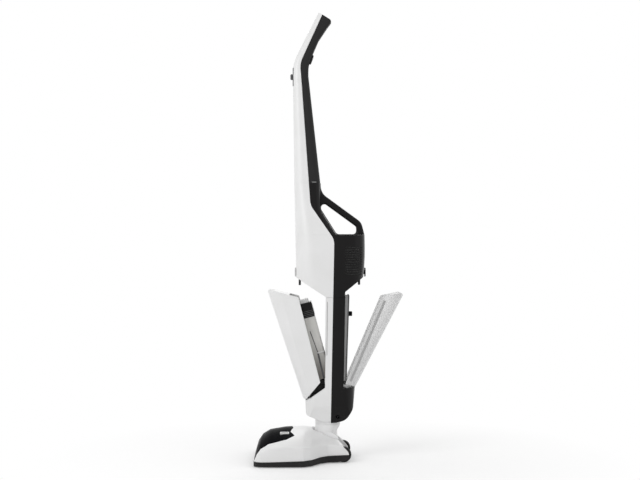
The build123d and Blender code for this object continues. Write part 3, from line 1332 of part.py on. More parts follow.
def cup_body(inset, mouth):
    """Cup envelope drawn in by a wall, its mouth moved forwards."""
    side_corners = [
        (CUP_TOP_FRONT[0] - mouth, CUP_TOP_FRONT[1], 0),
        (CUP_TOP_BACK[0], CUP_TOP_BACK[1], CUP_TOP_ROUND),
        (CUP_FOOT_BACK[0], CUP_FOOT_BACK[1], CUP_FOOT_ROUND),
        (CUP_FOOT_FRONT[0] - mouth, CUP_FOOT_FRONT[1], 0),
    ]
    face_corners = [
        (-CUP_HALF_WIDTH_FOOT, CUP_FOOT_BACK[1] - WALL, 0),
        (CUP_HALF_WIDTH_FOOT, CUP_FOOT_BACK[1] - WALL, 0),
        (CUP_HALF_WIDTH_TOP, CUP_TOP_BACK[1] + 2 * WALL, 0),
        (-CUP_HALF_WIDTH_TOP, CUP_TOP_BACK[1] + 2 * WALL, 0),
    ]
    top_corners = [
        (-BEYOND, -CUP_HALF_WIDTH_TOP, 0),
        (CUP_TOP_BACK[0], -CUP_HALF_WIDTH_TOP, CUP_ROUND),
        (CUP_TOP_BACK[0], CUP_HALF_WIDTH_TOP, CUP_ROUND),
        (-BEYOND, CUP_HALF_WIDTH_TOP, 0),
    ]
    foot_shift = CUP_FOOT_BACK[0] - CUP_TOP_BACK[0]
    low_corners = [(x + foot_shift if x > 0 else x, y, radius) for x, y, radius in top_corners]
    with BuildPart() as envelope:
        foot_plan = outline(cup_low, low_corners, inset)
        top_plan = outline(cup_low.offset(cup_rise), top_corners, inset)
        loft(sections=[foot_plan, top_plan], ruled=True)
        extrude(outline(cup_side, side_corners, inset), amount=BEYOND, both=True, mode=Mode.INTERSECT)
        extrude(outline(cup_face, face_corners, inset), amount=BEYOND, both=True, mode=Mode.INTERSECT)
    return envelope.part


cup_envelope = cup_body(0, 0)
cup_hollow = cup_body(CUP_WALL, 3 * CUP_WALL)
cup_pin_bore = rod(CUP_PIVOT_X, CUP_PIVOT_Z, HINGE_PIN_RADIUS + RUN, -HINGE_HALF_LENGTH, HINGE_HALF_LENGTH)

with BuildPart() as cup_shell:
    add(cup_envelope)
    add(cup_hollow, mode=Mode.SUBTRACT)
    add((cup_turn * latch_pocket(REAR_BOLT_X, REAR_BOLT_TIP, -POCKET_RUN, POCKET_WALL)) & cup_envelope)
    add(cup_turn * latch_pocket(REAR_BOLT_X, REAR_BOLT_TIP, -POCKET_RUN, 0), mode=Mode.SUBTRACT)
    add(cup_turn * bolt_hole(REAR_BOLT_X, REAR_BOLT_TIP), mode=Mode.SUBTRACT)
    add([cup_turn * piece for piece in knuckles(CUP_PIVOT_X, CUP_PIVOT_Z, CUP_FOOT_BACK[1] + CUP_WALL / 2)])
    add(cup_turn * cup_pin_bore, mode=Mode.SUBTRACT)
cup_shell.part.label = "cup_shell"
export_step(cup_shell.part, "parts/cup_shell.step")

rim_corners = [
    (CUP_TOP_FRONT[0] + SEAM, CUP_TOP_BACK[1], 0),
    (CUP_TOP_FRONT[0] + RIM_DEPTH, CUP_TOP_BACK[1], 0),
    (CUP_FOOT_FRONT[0] + RIM_DEPTH, CUP_FOOT_FRONT[1], 0),
    (CUP_FOOT_FRONT[0] + SEAM, CUP_FOOT_FRONT[1], 0),
]

with BuildPart() as cup_rim:
    add(cup_body(CUP_WALL + RUN, 3 * CUP_WALL))
    add(cup_body(CUP_WALL + RUN + RIM_THICKNESS, 6 * CUP_WALL), mode=Mode.SUBTRACT)
    extrude(outline(cup_side, rim_corners), amount=BEYOND, both=True, mode=Mode.INTERSECT)
cup_rim.part.label = "cup_rim"
export_step(cup_rim.part, "parts/cup_rim.step")

# Neck: a drum that tilts in the head and a tube that the body swivels on
collar_bottom = FOOT_BOTTOM - SEAM
neck_top = collar_bottom + COLLAR_HEIGHT
flange_top = collar_bottom - SEAM
tilt_bore_inner = DRUM_HALF_WIDTH - TILT_PIN_SEAT

with BuildPart() as swivel_collar:
    with BuildSketch(Plane.XY.offset(collar_bottom)):
        with Locations((NECK_X, 0)):
            Circle(SWIVEL_COLLAR_RADIUS)
    extrude(amount=COLLAR_HEIGHT)
    with BuildSketch(Plane.XY.offset(collar_bottom)):
        with Locations((NECK_X, 0)):
            Circle(NECK_RADIUS + RUN)
    extrude(amount=COLLAR_HEIGHT, mode=Mode.SUBTRACT)
swivel_collar.part.label = "swivel_collar"
export_step(swivel_collar.part, "parts/swivel_collar.step")

with BuildSketch(Plane.XY.offset(flange_top - NECK_FLANGE)) as trunk_top:
    with Locations((NECK_X, 0)):
        Circle(SWIVEL_COLLAR_RADIUS - SEAM)

with BuildSketch(Plane.XY.offset(TRUNK_FOOT)) as trunk_foot:
    with Locations((NECK_X - TRUNK_LEAN, 0)):
        Ellipse(TRUNK_HALF_LENGTH, TRUNK_HALF_WIDTH)

with BuildPart() as neck_joint:
    add(rod(NECK_X, TILT_HEIGHT, DRUM_RADIUS, -DRUM_HALF_WIDTH, DRUM_HALF_WIDTH))
    with BuildSketch(Plane.XY.offset(TILT_HEIGHT)):
        with Locations((NECK_X, 0)):
            Circle(NECK_RADIUS)
    extrude(amount=neck_top + SEAM - TILT_HEIGHT)
    with BuildSketch(Plane.XY.offset(neck_top + SEAM)):
        with Locations((NECK_X, 0)):
            Circle(NECK_BORE + WALL)
    extrude(amount=NECK_RING_HEIGHT)
    extrude(trunk_top.sketch, amount=NECK_FLANGE)
    loft(sections=[trunk_foot.sketch, trunk_top.sketch], ruled=True)
    with BuildSketch(Plane.XY.offset(TILT_HEIGHT)):
        with Locations((NECK_X, 0)):
            Circle(NECK_BORE)
    extrude(amount=neck_top, mode=Mode.SUBTRACT)
    with BuildSketch(Plane.YZ.offset(NECK_X)):
        with Locations((0, TILT_HEIGHT)):
            Circle(DUCT_RADIUS - HEAD_WALL)
    extrude(amount=-2 * DRUM_RADIUS, mode=Mode.SUBTRACT)
    for low, high in ((-BEYOND, -tilt_bore_inner), (tilt_bore_inner, BEYOND)):
        add(rod(NECK_X, TILT_HEIGHT, TILT_PIN_RADIUS + RUN, low, high), mode=Mode.SUBTRACT)
neck_joint.part.label = "neck_joint"
export_step(neck_joint.part, "parts/neck_joint.step")

with BuildPart() as neck_ring:
    with BuildSketch(Plane.XY.offset(neck_top + SEAM)):
        with Locations((NECK_X, 0)):
            Circle(SWIVEL_COLLAR_RADIUS - SEAM)
            Circle(NECK_BORE + WALL + RUN, mode=Mode.SUBTRACT)
    extrude(amount=NECK_RING_HEIGHT)
neck_ring.part.label = "neck_ring"
export_step(neck_ring.part, "parts/neck_ring.step")


# Floor head
def head_section(place, half_width, shoulder, crown, inset):
    """Section across the head: flat sole, upright sides and a bowed top with eased corners."""
    half = half_width - inset
    corner = shoulder - inset
    with BuildSketch(Plane.YZ.offset(place)) as section:
        with BuildLine():
            Polyline((-half, corner), (-half, SOLE), (half, SOLE), (half, corner))
            ThreePointArc((half, corner), (0, crown - inset), (-half, corner))
        make_face()
        fillet(section.vertices().group_by(Axis.Y)[-1], HEAD_EASE)
    return section.sketch


def head_loft(inset):
    """Head envelope from nose to tail, drawn in by a wall, its tail rounded inside the wheels."""
    sections = []
    for place, half_width, shoulder, crown in HEAD_STATIONS:
        shift = inset if place < HEAD_WIDEST else -inset if place > NECK_X else 0
        sections.append(head_section(place + shift, half_width, shoulder, crown, inset))
    with BuildPart() as envelope:
        loft(sections=sections, ruled=True)
        with BuildSketch(Plane.XZ):
            with Locations((WHEEL_X, WHEEL_RADIUS)):
                Circle(WHEEL_RADIUS - WHEEL_SHOW - inset)
            with Locations((NECK_X - BEYOND / 2, HEAD_CROWN / 2)):
                Rectangle(BEYOND, HEAD_CROWN + 2 * BASE_PROUD)
            make_hull()
        extrude(amount=BEYOND, both=True, mode=Mode.INTERSECT)
    return envelope.part


slot_half = DRUM_HALF_WIDTH + NECK_GAP
slot_front = NECK_X - max(DRUM_RADIUS, TRUNK_LEAN + TRUNK_HALF_LENGTH) - NECK_GAP
slot_wall = slot_half + HEAD_WALL
tilt_seat = slot_half + TILT_PIN_SEAT
head_outer = head_loft(0)
head_inner = head_loft(HEAD_WALL)
split_slope = SPLIT_RISE / (HEAD_TAIL - HEAD_FRONT)
split_plane = Plane(
    origin=(HEAD_FRONT, 0, HEAD_SPLIT), x_dir=(1, 0, split_slope), z_dir=(-split_slope, 0, 1)
)
wheel_wells = []
axle_holes = []
boss_places = [(x, side * y) for x, y in SCREW_PLACES for side in (-1, 1)]
boss_bar = Cylinder(SCREW_BOSS, HEAD_CROWN, mode=Mode.PRIVATE)
screw_bosses = [Pos(x, y, HEAD_CROWN / 2) * boss_bar for x, y in boss_places]
for side in (-1, 1):
    low, high = sorted((side * (WHEEL_INNER - 2 * PLAY), side * (WHEEL_INNER + WHEEL_WIDTH + 2 * PLAY)))
    wheel_wells.append(rod(WHEEL_X, WHEEL_RADIUS, WHEEL_RADIUS + 3 * PLAY, low, high))
    low, high = sorted((side * slot_half, side * HEAD_STATIONS[-1][1]))
    axle_holes.append(rod(WHEEL_X, WHEEL_RADIUS, AXLE_RADIUS + RUN, low, high))

window_edge = [
    (WINDOW_NOTCH, WINDOW_NOTCH_HALF, WINDOW_NOTCH_ROUND),
    (WINDOW_TAIL, WINDOW_TAIL_HALF, WINDOW_TAIL_ROUND),
    (WINDOW_WAIST, WINDOW_WAIST_HALF, WINDOW_WAIST_ROUND),
    (WINDOW_SHOULDER, WINDOW_HALF, WINDOW_SHOULDER_ROUND),
    (HEAD_FRONT - 2 * WALL, WINDOW_HALF, 0),
]
window_other_edge = [(x, -y, corner) for x, y, corner in reversed(window_edge)]
window_outline = [(WINDOW_BACK, 0, 0)] + window_edge + window_other_edge

with BuildPart() as head_room:
    add(head_inner)
    add(
        box_between((slot_front - HEAD_WALL, -slot_wall, 0), (BEYOND, slot_wall, BEYOND)),
        mode=Mode.SUBTRACT,
    )

with BuildPart() as head_cover:
    add(head_outer)
    add(head_room.part, mode=Mode.SUBTRACT)
    for side in (-1, 1):
        low, high = sorted((side * slot_half, side * (tilt_seat + TILT_BOSS)))
        add(rod(NECK_X, TILT_HEIGHT, TILT_PIN_RADIUS + TILT_BOSS, low, high) & head_outer)
    for boss in screw_bosses:
        add(boss & head_outer)
    split(bisect_by=split_plane.offset(SEAM), keep=Keep.TOP)
    slot_face = plan_section(0, slot_front, BEYOND, slot_half, SLOT_ROUND, 0)
    extrude(slot_face, amount=BEYOND, mode=Mode.SUBTRACT)
    extrude(outline(Plane.XY.offset(WINDOW_SILL), window_outline), amount=BEYOND, mode=Mode.SUBTRACT)
    add(wheel_wells, mode=Mode.SUBTRACT)
    add(axle_holes, mode=Mode.SUBTRACT)
    add(rod(NECK_X, TILT_HEIGHT, TILT_PIN_RADIUS + RUN, -tilt_seat, tilt_seat), mode=Mode.SUBTRACT)
    with BuildSketch(Plane.YZ.offset(slot_front)):
        with Locations((0, TILT_HEIGHT)):
            Circle(DUCT_RADIUS + SEAM)
    extrude(amount=-2 * HEAD_WALL, mode=Mode.SUBTRACT)
    with BuildSketch(Plane.XY.offset(HEAD_SPLIT)):
        with Locations(boss_places):
            Circle(SCREW_RADIUS + RUN)
    extrude(amount=SCREW_LENGTH, mode=Mode.SUBTRACT)
head_cover.part.label = "head_cover"
export_step(head_cover.part, "parts/head_cover.step")

# The pedal sits square to the bowed top, in a well under the window
pedal_bow_rise = HEAD_CROWN - PEDAL_DROP - HEAD_SHOULDER
pedal_bow = (HEAD_HALF_WIDTH ** 2 + pedal_bow_rise ** 2) / (2 * pedal_bow_rise)
pedal_lean = PEDAL_Y / pedal_bow
pedal_axis = Vector(0, pedal_lean, (1 - pedal_lean ** 2) ** 0.5)
pedal_middle = Vector(PEDAL_X, 0, HEAD_CROWN - PEDAL_DROP - pedal_bow) + pedal_axis * pedal_bow
pedal_plane = Plane(origin=pedal_middle, x_dir=(1, 0, 0), z_dir=pedal_axis)
well_half_length = PEDAL_HALF_LENGTH + PLAY
well_half_width = PEDAL_HALF_WIDTH + PLAY

with BuildPart() as brush_window:
    add(head_loft(-WINDOW_PROUD))
    add(head_inner, mode=Mode.SUBTRACT)
    window_face = outline(Plane.XY.offset(WINDOW_SILL + SEAM), window_outline, SEAM)
    extrude(window_face, amount=BEYOND, mode=Mode.INTERSECT)
    with BuildSketch(pedal_plane.offset(-HEAD_WALL)):
        Rectangle(2 * (well_half_length + PEDAL_WELL_WALL), 2 * (well_half_width + PEDAL_WELL_WALL))
    extrude(amount=-PEDAL_GUIDE)
    with BuildSketch(pedal_plane.offset(PEDAL_GUIDE)):
        RectangleRounded(2 * well_half_length, 2 * well_half_width, PEDAL_ROUND + PLAY)
    extrude(amount=-2 * PEDAL_GUIDE - HEAD_WALL + PEDAL_WELL_WALL, mode=Mode.SUBTRACT)
    with BuildSketch(pedal_plane):
        Circle(PEDAL_POST + RUN)
    extrude(amount=-PEDAL_GUIDE - 2 * HEAD_WALL, mode=Mode.SUBTRACT)
brush_window.part.label = "brush_window"
export_step(brush_window.part, "parts/brush_window.step")

# Base of the head, with the brush chamber, the motor cradle and the wheel wells
floor_top = SOLE + BASE_FLOOR
chamber_front = MOUTH_FRONT - HEAD_WALL
chamber_back = MOUTH_BACK + HEAD_WALL
end_wall_high = END_WALL_INNER + END_WALL
end_wall_front = BRUSH_X - END_WALL_REACH
end_wall_back = BRUSH_X + END_WALL_REACH
screw_seat = SOLE + SCREW_HEAD + SEAM

with BuildPart() as base_tray:
    add(head_loft(-BASE_PROUD))
    split(bisect_by=split_plane, keep=Keep.BOTTOM)

with BuildPart() as tray_room:
    add(head_inner)
    split(bisect_by=Plane.XY.offset(floor_top), keep=Keep.TOP)
    add(screw_bosses, mode=Mode.SUBTRACT)

with BuildPart() as head_base:
    add(base_tray.part)
    add(tray_room.part, mode=Mode.SUBTRACT)
    add(box_between((MOUTH_BACK, -END_WALL_INNER, SOLE), (chamber_back, END_WALL_INNER, CHAMBER_TOP)))
    add(box_between((chamber_front, -END_WALL_INNER, SOLE), (MOUTH_FRONT, END_WALL_INNER, HEAD_SPLIT)))
    for side in (-1, 1):
        low, high = sorted((side * END_WALL_INNER, side * end_wall_high))
        add(box_between((end_wall_front, low, SOLE), (end_wall_back, high, END_WALL_TOP)))
    for place in (BRUSH_MOTOR_INNER + CRADLE, BRUSH_MOTOR_INNER + BRUSH_MOTOR_LENGTH - 2 * CRADLE):
        add(
            box_between(
                (BRUSH_MOTOR_X - BRUSH_MOTOR_RADIUS - CRADLE, place, SOLE),
                (BRUSH_MOTOR_X + BRUSH_MOTOR_RADIUS + CRADLE, place + CRADLE, BRUSH_MOTOR_Z),
            )
        )
    add(
        box_between((MOUTH_FRONT, -END_WALL_INNER, 0), (MOUTH_BACK, END_WALL_INNER, BEYOND)),
        mode=Mode.SUBTRACT,
    )
    add(rod(BRUSH_X, BRUSH_Z, BUSH_RADIUS + RUN, -end_wall_high, end_wall_high), mode=Mode.SUBTRACT)
    add(
        rod(BRUSH_MOTOR_X, BRUSH_MOTOR_Z, BRUSH_MOTOR_RADIUS + RUN, BRUSH_MOTOR_INNER, BEYOND),
        mode=Mode.SUBTRACT,
    )
    add(wheel_wells, mode=Mode.SUBTRACT)
    add(axle_holes, mode=Mode.SUBTRACT)
    with BuildSketch(Plane.YZ.offset(MOUTH_BACK)):
        with Locations((0, TILT_HEIGHT)):
            Circle(DUCT_RADIUS + SEAM)
    extrude(amount=HEAD_WALL, mode=Mode.SUBTRACT)
    with BuildSketch(Plane.XY.offset(SOLE)):
        with Locations(boss_places):
            Circle(SCREW_RADIUS + 2 * RUN)
    extrude(amount=HEAD_SPLIT + SPLIT_RISE, mode=Mode.SUBTRACT)
    with BuildSketch(Plane.XY.offset(SOLE)):
        with Locations(boss_places):
            Circle(SCREW_HEAD_RADIUS + SEAM)
    extrude(amount=SCREW_HEAD + SEAM, mode=Mode.SUBTRACT)
head_base.part.label = "head_base"
export_step(head_base.part, "parts/head_base.step")

with BuildPart() as head_screws:
    with BuildSketch(Plane.XY.offset(screw_seat - SCREW_HEAD)):
        with Locations(boss_places):
            Circle(SCREW_HEAD_RADIUS)
    extrude(amount=SCREW_HEAD)
    with BuildSketch(Plane.XY.offset(screw_seat)):
        with Locations(boss_places):
            Circle(SCREW_RADIUS)
    extrude(amount=HEAD_SPLIT + SCREW_LENGTH - screw_seat - SEAM)
head_screws.part.label = "head_screws"
export_step(head_screws.part, "parts/head_screws.step")

with BuildPart() as head_duct:
    with BuildSketch(Plane.YZ.offset(MOUTH_BACK)):
        with Locations((0, TILT_HEIGHT)):
            Circle(DUCT_RADIUS)
    extrude(amount=NECK_X - MOUTH_BACK)
    with BuildSketch(Plane.YZ.offset(MOUTH_BACK)):
        with Locations((0, TILT_HEIGHT)):
            Circle(DUCT_RADIUS - HEAD_WALL)
    extrude(amount=NECK_X - MOUTH_BACK, mode=Mode.SUBTRACT)
    add(rod(NECK_X, TILT_HEIGHT, DRUM_RADIUS + PLAY, -BEYOND, BEYOND), mode=Mode.SUBTRACT)
    with BuildSketch(Plane.XY.offset(TILT_HEIGHT)):
        with Locations((NECK_X, 0)):
            Circle(NECK_RADIUS + PLAY)
    extrude(amount=BEYOND, mode=Mode.SUBTRACT)
head_duct.part.label = "head_duct"
export_step(head_duct.part, "parts/head_duct.step")

with BuildPart() as release_pedal:
    with BuildSketch(pedal_plane.offset(PEDAL_PROUD - PEDAL_THICKNESS)):
        RectangleRounded(2 * PEDAL_HALF_LENGTH, 2 * PEDAL_HALF_WIDTH, PEDAL_ROUND)
    extrude(amount=PEDAL_THICKNESS)
    fillet(release_pedal.faces().sort_by(Axis((0, 0, 0), pedal_axis))[-1].edges(), PEDAL_PROUD / 2)
    with BuildSketch(pedal_plane.offset(-PEDAL_GUIDE - HEAD_WALL)):
        Circle(PEDAL_POST)
    extrude(amount=PEDAL_GUIDE + HEAD_WALL)
release_pedal.part.label = "release_pedal"
export_step(release_pedal.part, "parts/release_pedal.step")

glide_front = (HEAD_FRONT + MOUTH_FRONT) / 2

with BuildPart() as sole_glides:
    with BuildSketch():
        with Locations((glide_front, GLIDE_MIDDLE), (glide_front, -GLIDE_MIDDLE)):
            RectangleRounded(GLIDE_DEPTH, GLIDE_LENGTH, GLIDE_DEPTH / 3)
        with Locations((chamber_back + GLIDE_DEPTH, 0)):
            RectangleRounded(GLIDE_DEPTH, 2 * GLIDE_LENGTH, GLIDE_DEPTH / 3)
    extrude(amount=SOLE)
sole_glides.part.label = "sole_glides"
export_step(sole_glides.part, "parts/sole_glides.step")

with BuildPart() as brush_bushes:
    for side in (-1, 1):
        low, high = sorted((side * END_WALL_INNER, side * end_wall_high))
        add(rod(BRUSH_X, BRUSH_Z, BUSH_RADIUS, low, high))
    add(rod(BRUSH_X, BRUSH_Z, BRUSH_SHAFT + RUN, -end_wall_high, end_wall_high), mode=Mode.SUBTRACT)
brush_bushes.part.label = "brush_bushes"
export_step(brush_bushes.part, "parts/brush_bushes.step")

belt_inner = end_wall_high + 3 * PLAY
belt_outer = belt_inner + BELT_WIDTH
motor_outer = BRUSH_MOTOR_INNER + BRUSH_MOTOR_LENGTH

with BuildPart() as brush_motor:
    add(rod(BRUSH_MOTOR_X, BRUSH_MOTOR_Z, BRUSH_MOTOR_RADIUS, BRUSH_MOTOR_INNER, motor_outer))
    chamfer(brush_motor.edges().filter_by(GeomType.CIRCLE), CRADLE / 2)
    add(
        rod(BRUSH_MOTOR_X, BRUSH_MOTOR_Z, PINION_SHAFT + RUN, motor_outer - PINION_SEAT, BEYOND),
        mode=Mode.SUBTRACT,
    )
brush_motor.part.label = "brush_motor"
export_step(brush_motor.part, "parts/brush_motor.step")

with BuildPart() as motor_pinion:
    add(rod(BRUSH_MOTOR_X, BRUSH_MOTOR_Z, PINION_RADIUS, belt_inner, belt_outer))
    add(rod(BRUSH_MOTOR_X, BRUSH_MOTOR_Z, PINION_SHAFT, motor_outer - PINION_SEAT + PLAY, belt_outer))
motor_pinion.part.label = "motor_pinion"
export_step(motor_pinion.part, "parts/motor_pinion.step")


def belt_face(grow):
    """Outline around both pulleys, seen from the side."""
    with BuildSketch(Plane.XZ.offset(-belt_inner)) as loop:
        with Locations((BRUSH_X, BRUSH_Z)):
            Circle(PULLEY_RADIUS + grow)
        with Locations((BRUSH_MOTOR_X, BRUSH_MOTOR_Z)):
            Circle(PINION_RADIUS + grow)
        make_hull()
    return loop.sketch


with BuildPart() as drive_belt:
    extrude(belt_face(SEAM + BELT_THICKNESS), amount=-BELT_WIDTH)
    extrude(belt_face(SEAM), amount=-BELT_WIDTH, mode=Mode.SUBTRACT)
drive_belt.part.label = "drive_belt"
export_step(drive_belt.part, "parts/drive_belt.step")

# Brush roll: a core with four strips of bristles set in its grooves
brush_half = END_WALL_INNER - BRUSH_END_GAP
strip_half = brush_half - BRUSH_END_GAP
strand_step = 2 * strip_half / STRANDS


def strip_plane(turn, radius):
    """Plane at a radius on the brush, facing outwards, with its first direction along the brush."""
    outward = Vector(cos(radians(turn)), 0, sin(radians(turn)))
    middle = Vector(BRUSH_X, 0, BRUSH_Z) + outward * radius
    return Plane(origin=middle, x_dir=(0, 1, 0), z_dir=outward)


strip_turns = [STRIP_START + 360 * step / STRIPS for step in range(STRIPS)]

with BuildPart() as brush_core:
    add(rod(BRUSH_X, BRUSH_Z, CORE_RADIUS, -brush_half, brush_half))
    chamfer(brush_core.edges().filter_by(GeomType.CIRCLE), STRIP_DEPTH / 2)
    for turn in strip_turns:
        with BuildSketch(strip_plane(turn, CORE_RADIUS - STRIP_DEPTH)):
            Rectangle(2 * brush_half, STRIP_WIDTH + 2 * RUN)
        extrude(amount=2 * STRIP_DEPTH, mode=Mode.SUBTRACT)
    add(rod(BRUSH_X, BRUSH_Z, BRUSH_SHAFT, -end_wall_high, belt_outer))
brush_core.part.label = "brush_core"
export_step(brush_core.part, "parts/brush_core.step")

with BuildPart() as brush_bristles:
    for turn in strip_turns:
        with BuildSketch(strip_plane(turn, CORE_RADIUS - STRIP_DEPTH + RUN)):
            Rectangle(2 * strip_half + STRIP_WIDTH, STRIP_WIDTH)
        extrude(amount=STRIP_DEPTH)
        with BuildSketch(strip_plane(turn, CORE_RADIUS - STRIP_DEPTH / 2)):
            with GridLocations(strand_step, 0, STRANDS, 1):
                Rectangle(STRAND, STRAND)
        extrude(amount=BRISTLE_RADIUS - CORE_RADIUS + STRIP_DEPTH / 2)
brush_bristles.part.label = "brush_bristles"
export_step(brush_bristles.part, "parts/brush_bristles.step")

with BuildPart() as brush_pulley:
    add(rod(BRUSH_X, BRUSH_Z, PULLEY_RADIUS, belt_inner, belt_outer))
    add(rod(BRUSH_X, BRUSH_Z, BRUSH_SHAFT + RUN, belt_inner, belt_outer), mode=Mode.SUBTRACT)
brush_pulley.part.label = "brush_pulley"
export_step(brush_pulley.part, "parts/brush_pulley.step")


# Wheels, axles and tilt pins
def wheel(low, high):
    """Wheel between two places, with a rounded tread and a dished face on both sides."""
    with BuildPart() as disc:
        add(rod(WHEEL_X, WHEEL_RADIUS, WHEEL_RADIUS, low, high))
        fillet(disc.edges().filter_by(GeomType.CIRCLE), WHEEL_EASE)
        for near, far in ((low, low + WHEEL_DISH), (high - WHEEL_DISH, high)):
            ring = rod(WHEEL_X, WHEEL_RADIUS, WHEEL_RADIUS - WHEEL_TREAD, near, far)
            hub = rod(WHEEL_X, WHEEL_RADIUS, AXLE_RADIUS + WHEEL_TREAD, near, far)
            add(ring - hub, mode=Mode.SUBTRACT)
        add(rod(WHEEL_X, WHEEL_RADIUS, AXLE_RADIUS + RUN, low, high), mode=Mode.SUBTRACT)
    return disc


wheel_left = wheel(-WHEEL_INNER - WHEEL_WIDTH, -WHEEL_INNER)
wheel_left.part.label = "wheel_left"
export_step(wheel_left.part, "parts/wheel_left.step")

wheel_right = wheel(WHEEL_INNER, WHEEL_INNER + WHEEL_WIDTH)
wheel_right.part.label = "wheel_right"
export_step(wheel_right.part, "parts/wheel_right.step")

axle_end = HEAD_STATIONS[-1][1] - PLAY

with BuildPart() as wheel_axles:
    add(rod(WHEEL_X, WHEEL_RADIUS, AXLE_RADIUS, slot_half + PLAY, axle_end))
    add(rod(WHEEL_X, WHEEL_RADIUS, AXLE_RADIUS, -axle_end, -slot_half - PLAY))
wheel_axles.part.label = "wheel_axles"
export_step(wheel_axles.part, "parts/wheel_axles.step")

tilt_pin_inner = tilt_bore_inner + PLAY
tilt_pin_outer = tilt_seat - PLAY

with BuildPart() as tilt_pins:
    add(rod(NECK_X, TILT_HEIGHT, TILT_PIN_RADIUS, tilt_pin_inner, tilt_pin_outer))
    add(rod(NECK_X, TILT_HEIGHT, TILT_PIN_RADIUS, -tilt_pin_outer, -tilt_pin_inner))
tilt_pins.part.label = "tilt_pins"
export_step(tilt_pins.part, "parts/tilt_pins.step")
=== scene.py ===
"""Looks of an upright cordless stick vacuum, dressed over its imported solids.

Lengths are in metres. The nose of the floor head points to -X, its left side to -Y, and the floor is at
Z = 0.
"""

import json
import logging
import math
from dataclasses import dataclass
from enum import Enum
from typing import Any, Mapping, Sequence

import bmesh
import bpy
from mathutils import Matrix, Vector
from mathutils.bvhtree import BVHTree

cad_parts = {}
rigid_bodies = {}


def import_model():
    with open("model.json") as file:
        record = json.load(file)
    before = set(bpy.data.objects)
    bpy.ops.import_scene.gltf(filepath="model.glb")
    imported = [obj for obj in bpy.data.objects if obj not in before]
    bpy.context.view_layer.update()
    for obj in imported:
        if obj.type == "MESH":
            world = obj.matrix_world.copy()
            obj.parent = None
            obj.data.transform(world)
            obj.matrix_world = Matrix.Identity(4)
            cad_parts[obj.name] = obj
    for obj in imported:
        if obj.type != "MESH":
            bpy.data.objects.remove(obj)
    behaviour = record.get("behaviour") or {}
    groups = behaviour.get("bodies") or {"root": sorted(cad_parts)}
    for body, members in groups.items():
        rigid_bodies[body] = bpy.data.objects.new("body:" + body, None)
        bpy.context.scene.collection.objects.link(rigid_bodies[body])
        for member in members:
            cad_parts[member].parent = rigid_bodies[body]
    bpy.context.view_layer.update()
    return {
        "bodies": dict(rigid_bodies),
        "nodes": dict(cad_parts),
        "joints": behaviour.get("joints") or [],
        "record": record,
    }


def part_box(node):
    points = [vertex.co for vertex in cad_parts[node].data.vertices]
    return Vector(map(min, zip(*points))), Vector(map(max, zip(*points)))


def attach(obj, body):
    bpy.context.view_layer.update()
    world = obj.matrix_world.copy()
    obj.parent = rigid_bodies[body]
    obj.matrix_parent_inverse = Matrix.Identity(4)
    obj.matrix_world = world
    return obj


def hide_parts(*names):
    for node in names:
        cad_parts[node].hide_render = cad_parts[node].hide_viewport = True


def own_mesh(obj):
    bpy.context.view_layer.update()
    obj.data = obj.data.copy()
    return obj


log = logging.getLogger("stick_vacuum")

MERGE_DISTANCE = 2e-6
CREASE_ANGLE = 30.0
Colour = tuple[float, float, float]
# A place, a direction or three lengths along X, Y and Z.
Triple = tuple[float, float, float]
Pair = tuple[float, float]


class Side(Enum):
    """The two sides of the machine, as the sign of Y."""

    LEFT = -1.0
    RIGHT = 1.0


class Wire:
    """A value in a node graph; arithmetic on it adds Math nodes."""

    def __init__(self, graph: "Graph", socket: bpy.types.NodeSocket) -> None:
        """Keeps the graph and the socket that carries the value."""
        self.graph = graph
        self.socket = socket

    def __add__(self, other: "Wire | float") -> "Wire":
        """This value plus another."""
        return self.graph.math("ADD", self, other)

    def __radd__(self, other: float) -> "Wire":
        """A number plus this value."""
        return self.graph.math("ADD", other, self)

    def __sub__(self, other: "Wire | float") -> "Wire":
        """This value less another."""
        return self.graph.math("SUBTRACT", self, other)

    def __rsub__(self, other: float) -> "Wire":
        """A number less this value."""
        return self.graph.math("SUBTRACT", other, self)

    def __mul__(self, other: "Wire | float") -> "Wire":
        """This value times another."""
        return self.graph.math("MULTIPLY", self, other)

    def __rmul__(self, other: float) -> "Wire":
        """A number times this value."""
        return self.graph.math("MULTIPLY", other, self)


class Graph:
    """A node tree that expressions fill."""

    def __init__(self, tree: bpy.types.NodeTree) -> None:
        """Empties the tree and keeps it."""
        self.tree = tree
        self.tree.nodes.clear()

    def feed(self, socket: bpy.types.NodeSocket, value: Any) -> None:
        """Links a wire to a socket, or sets a constant on it.

        Args:
            socket: The input to fill.
            value: A wire, a number, or a colour or vector of three numbers.
        """
        if isinstance(value, Wire):
            self.tree.links.new(value.socket, socket)
        elif socket.type == "RGBA" and len(value) == 3:
            socket.default_value = (*value, 1.0)
        else:
            socket.default_value = value

    def node(
        self,
        kind: str,
        settings: Mapping[str, Any] | None = None,
        inputs: Mapping[Any, Any] | None = None,
        output: str | int = 0,
    ) -> Wire:
        """Adds one node.

        Args:
            kind: The node's type.
            settings: Its settings, set first.
            inputs: Values or wires for its sockets, by name or number.
            output: The socket to return.

        Returns:
            The wire from that output.
        """
        made = self.tree.nodes.new(kind)
        for name, value in (settings or {}).items():
            setattr(made, name, value)
        for name, value in (inputs or {}).items():
            self.feed(made.inputs[name], value)
        return Wire(self, made.outputs[output])

    def math(self, operation: str, first: "Wire | float", second: "Wire | float") -> Wire:
        """One Math node of two values."""
        return self.node("ShaderNodeMath", {"operation": operation}, {0: first, 1: second})

    def show(self, kind: str, surface: Wire) -> None:
        """Adds the tree's output of that type and links the surface to it."""
        self.feed(self.tree.nodes.new(kind).inputs["Surface"], surface)


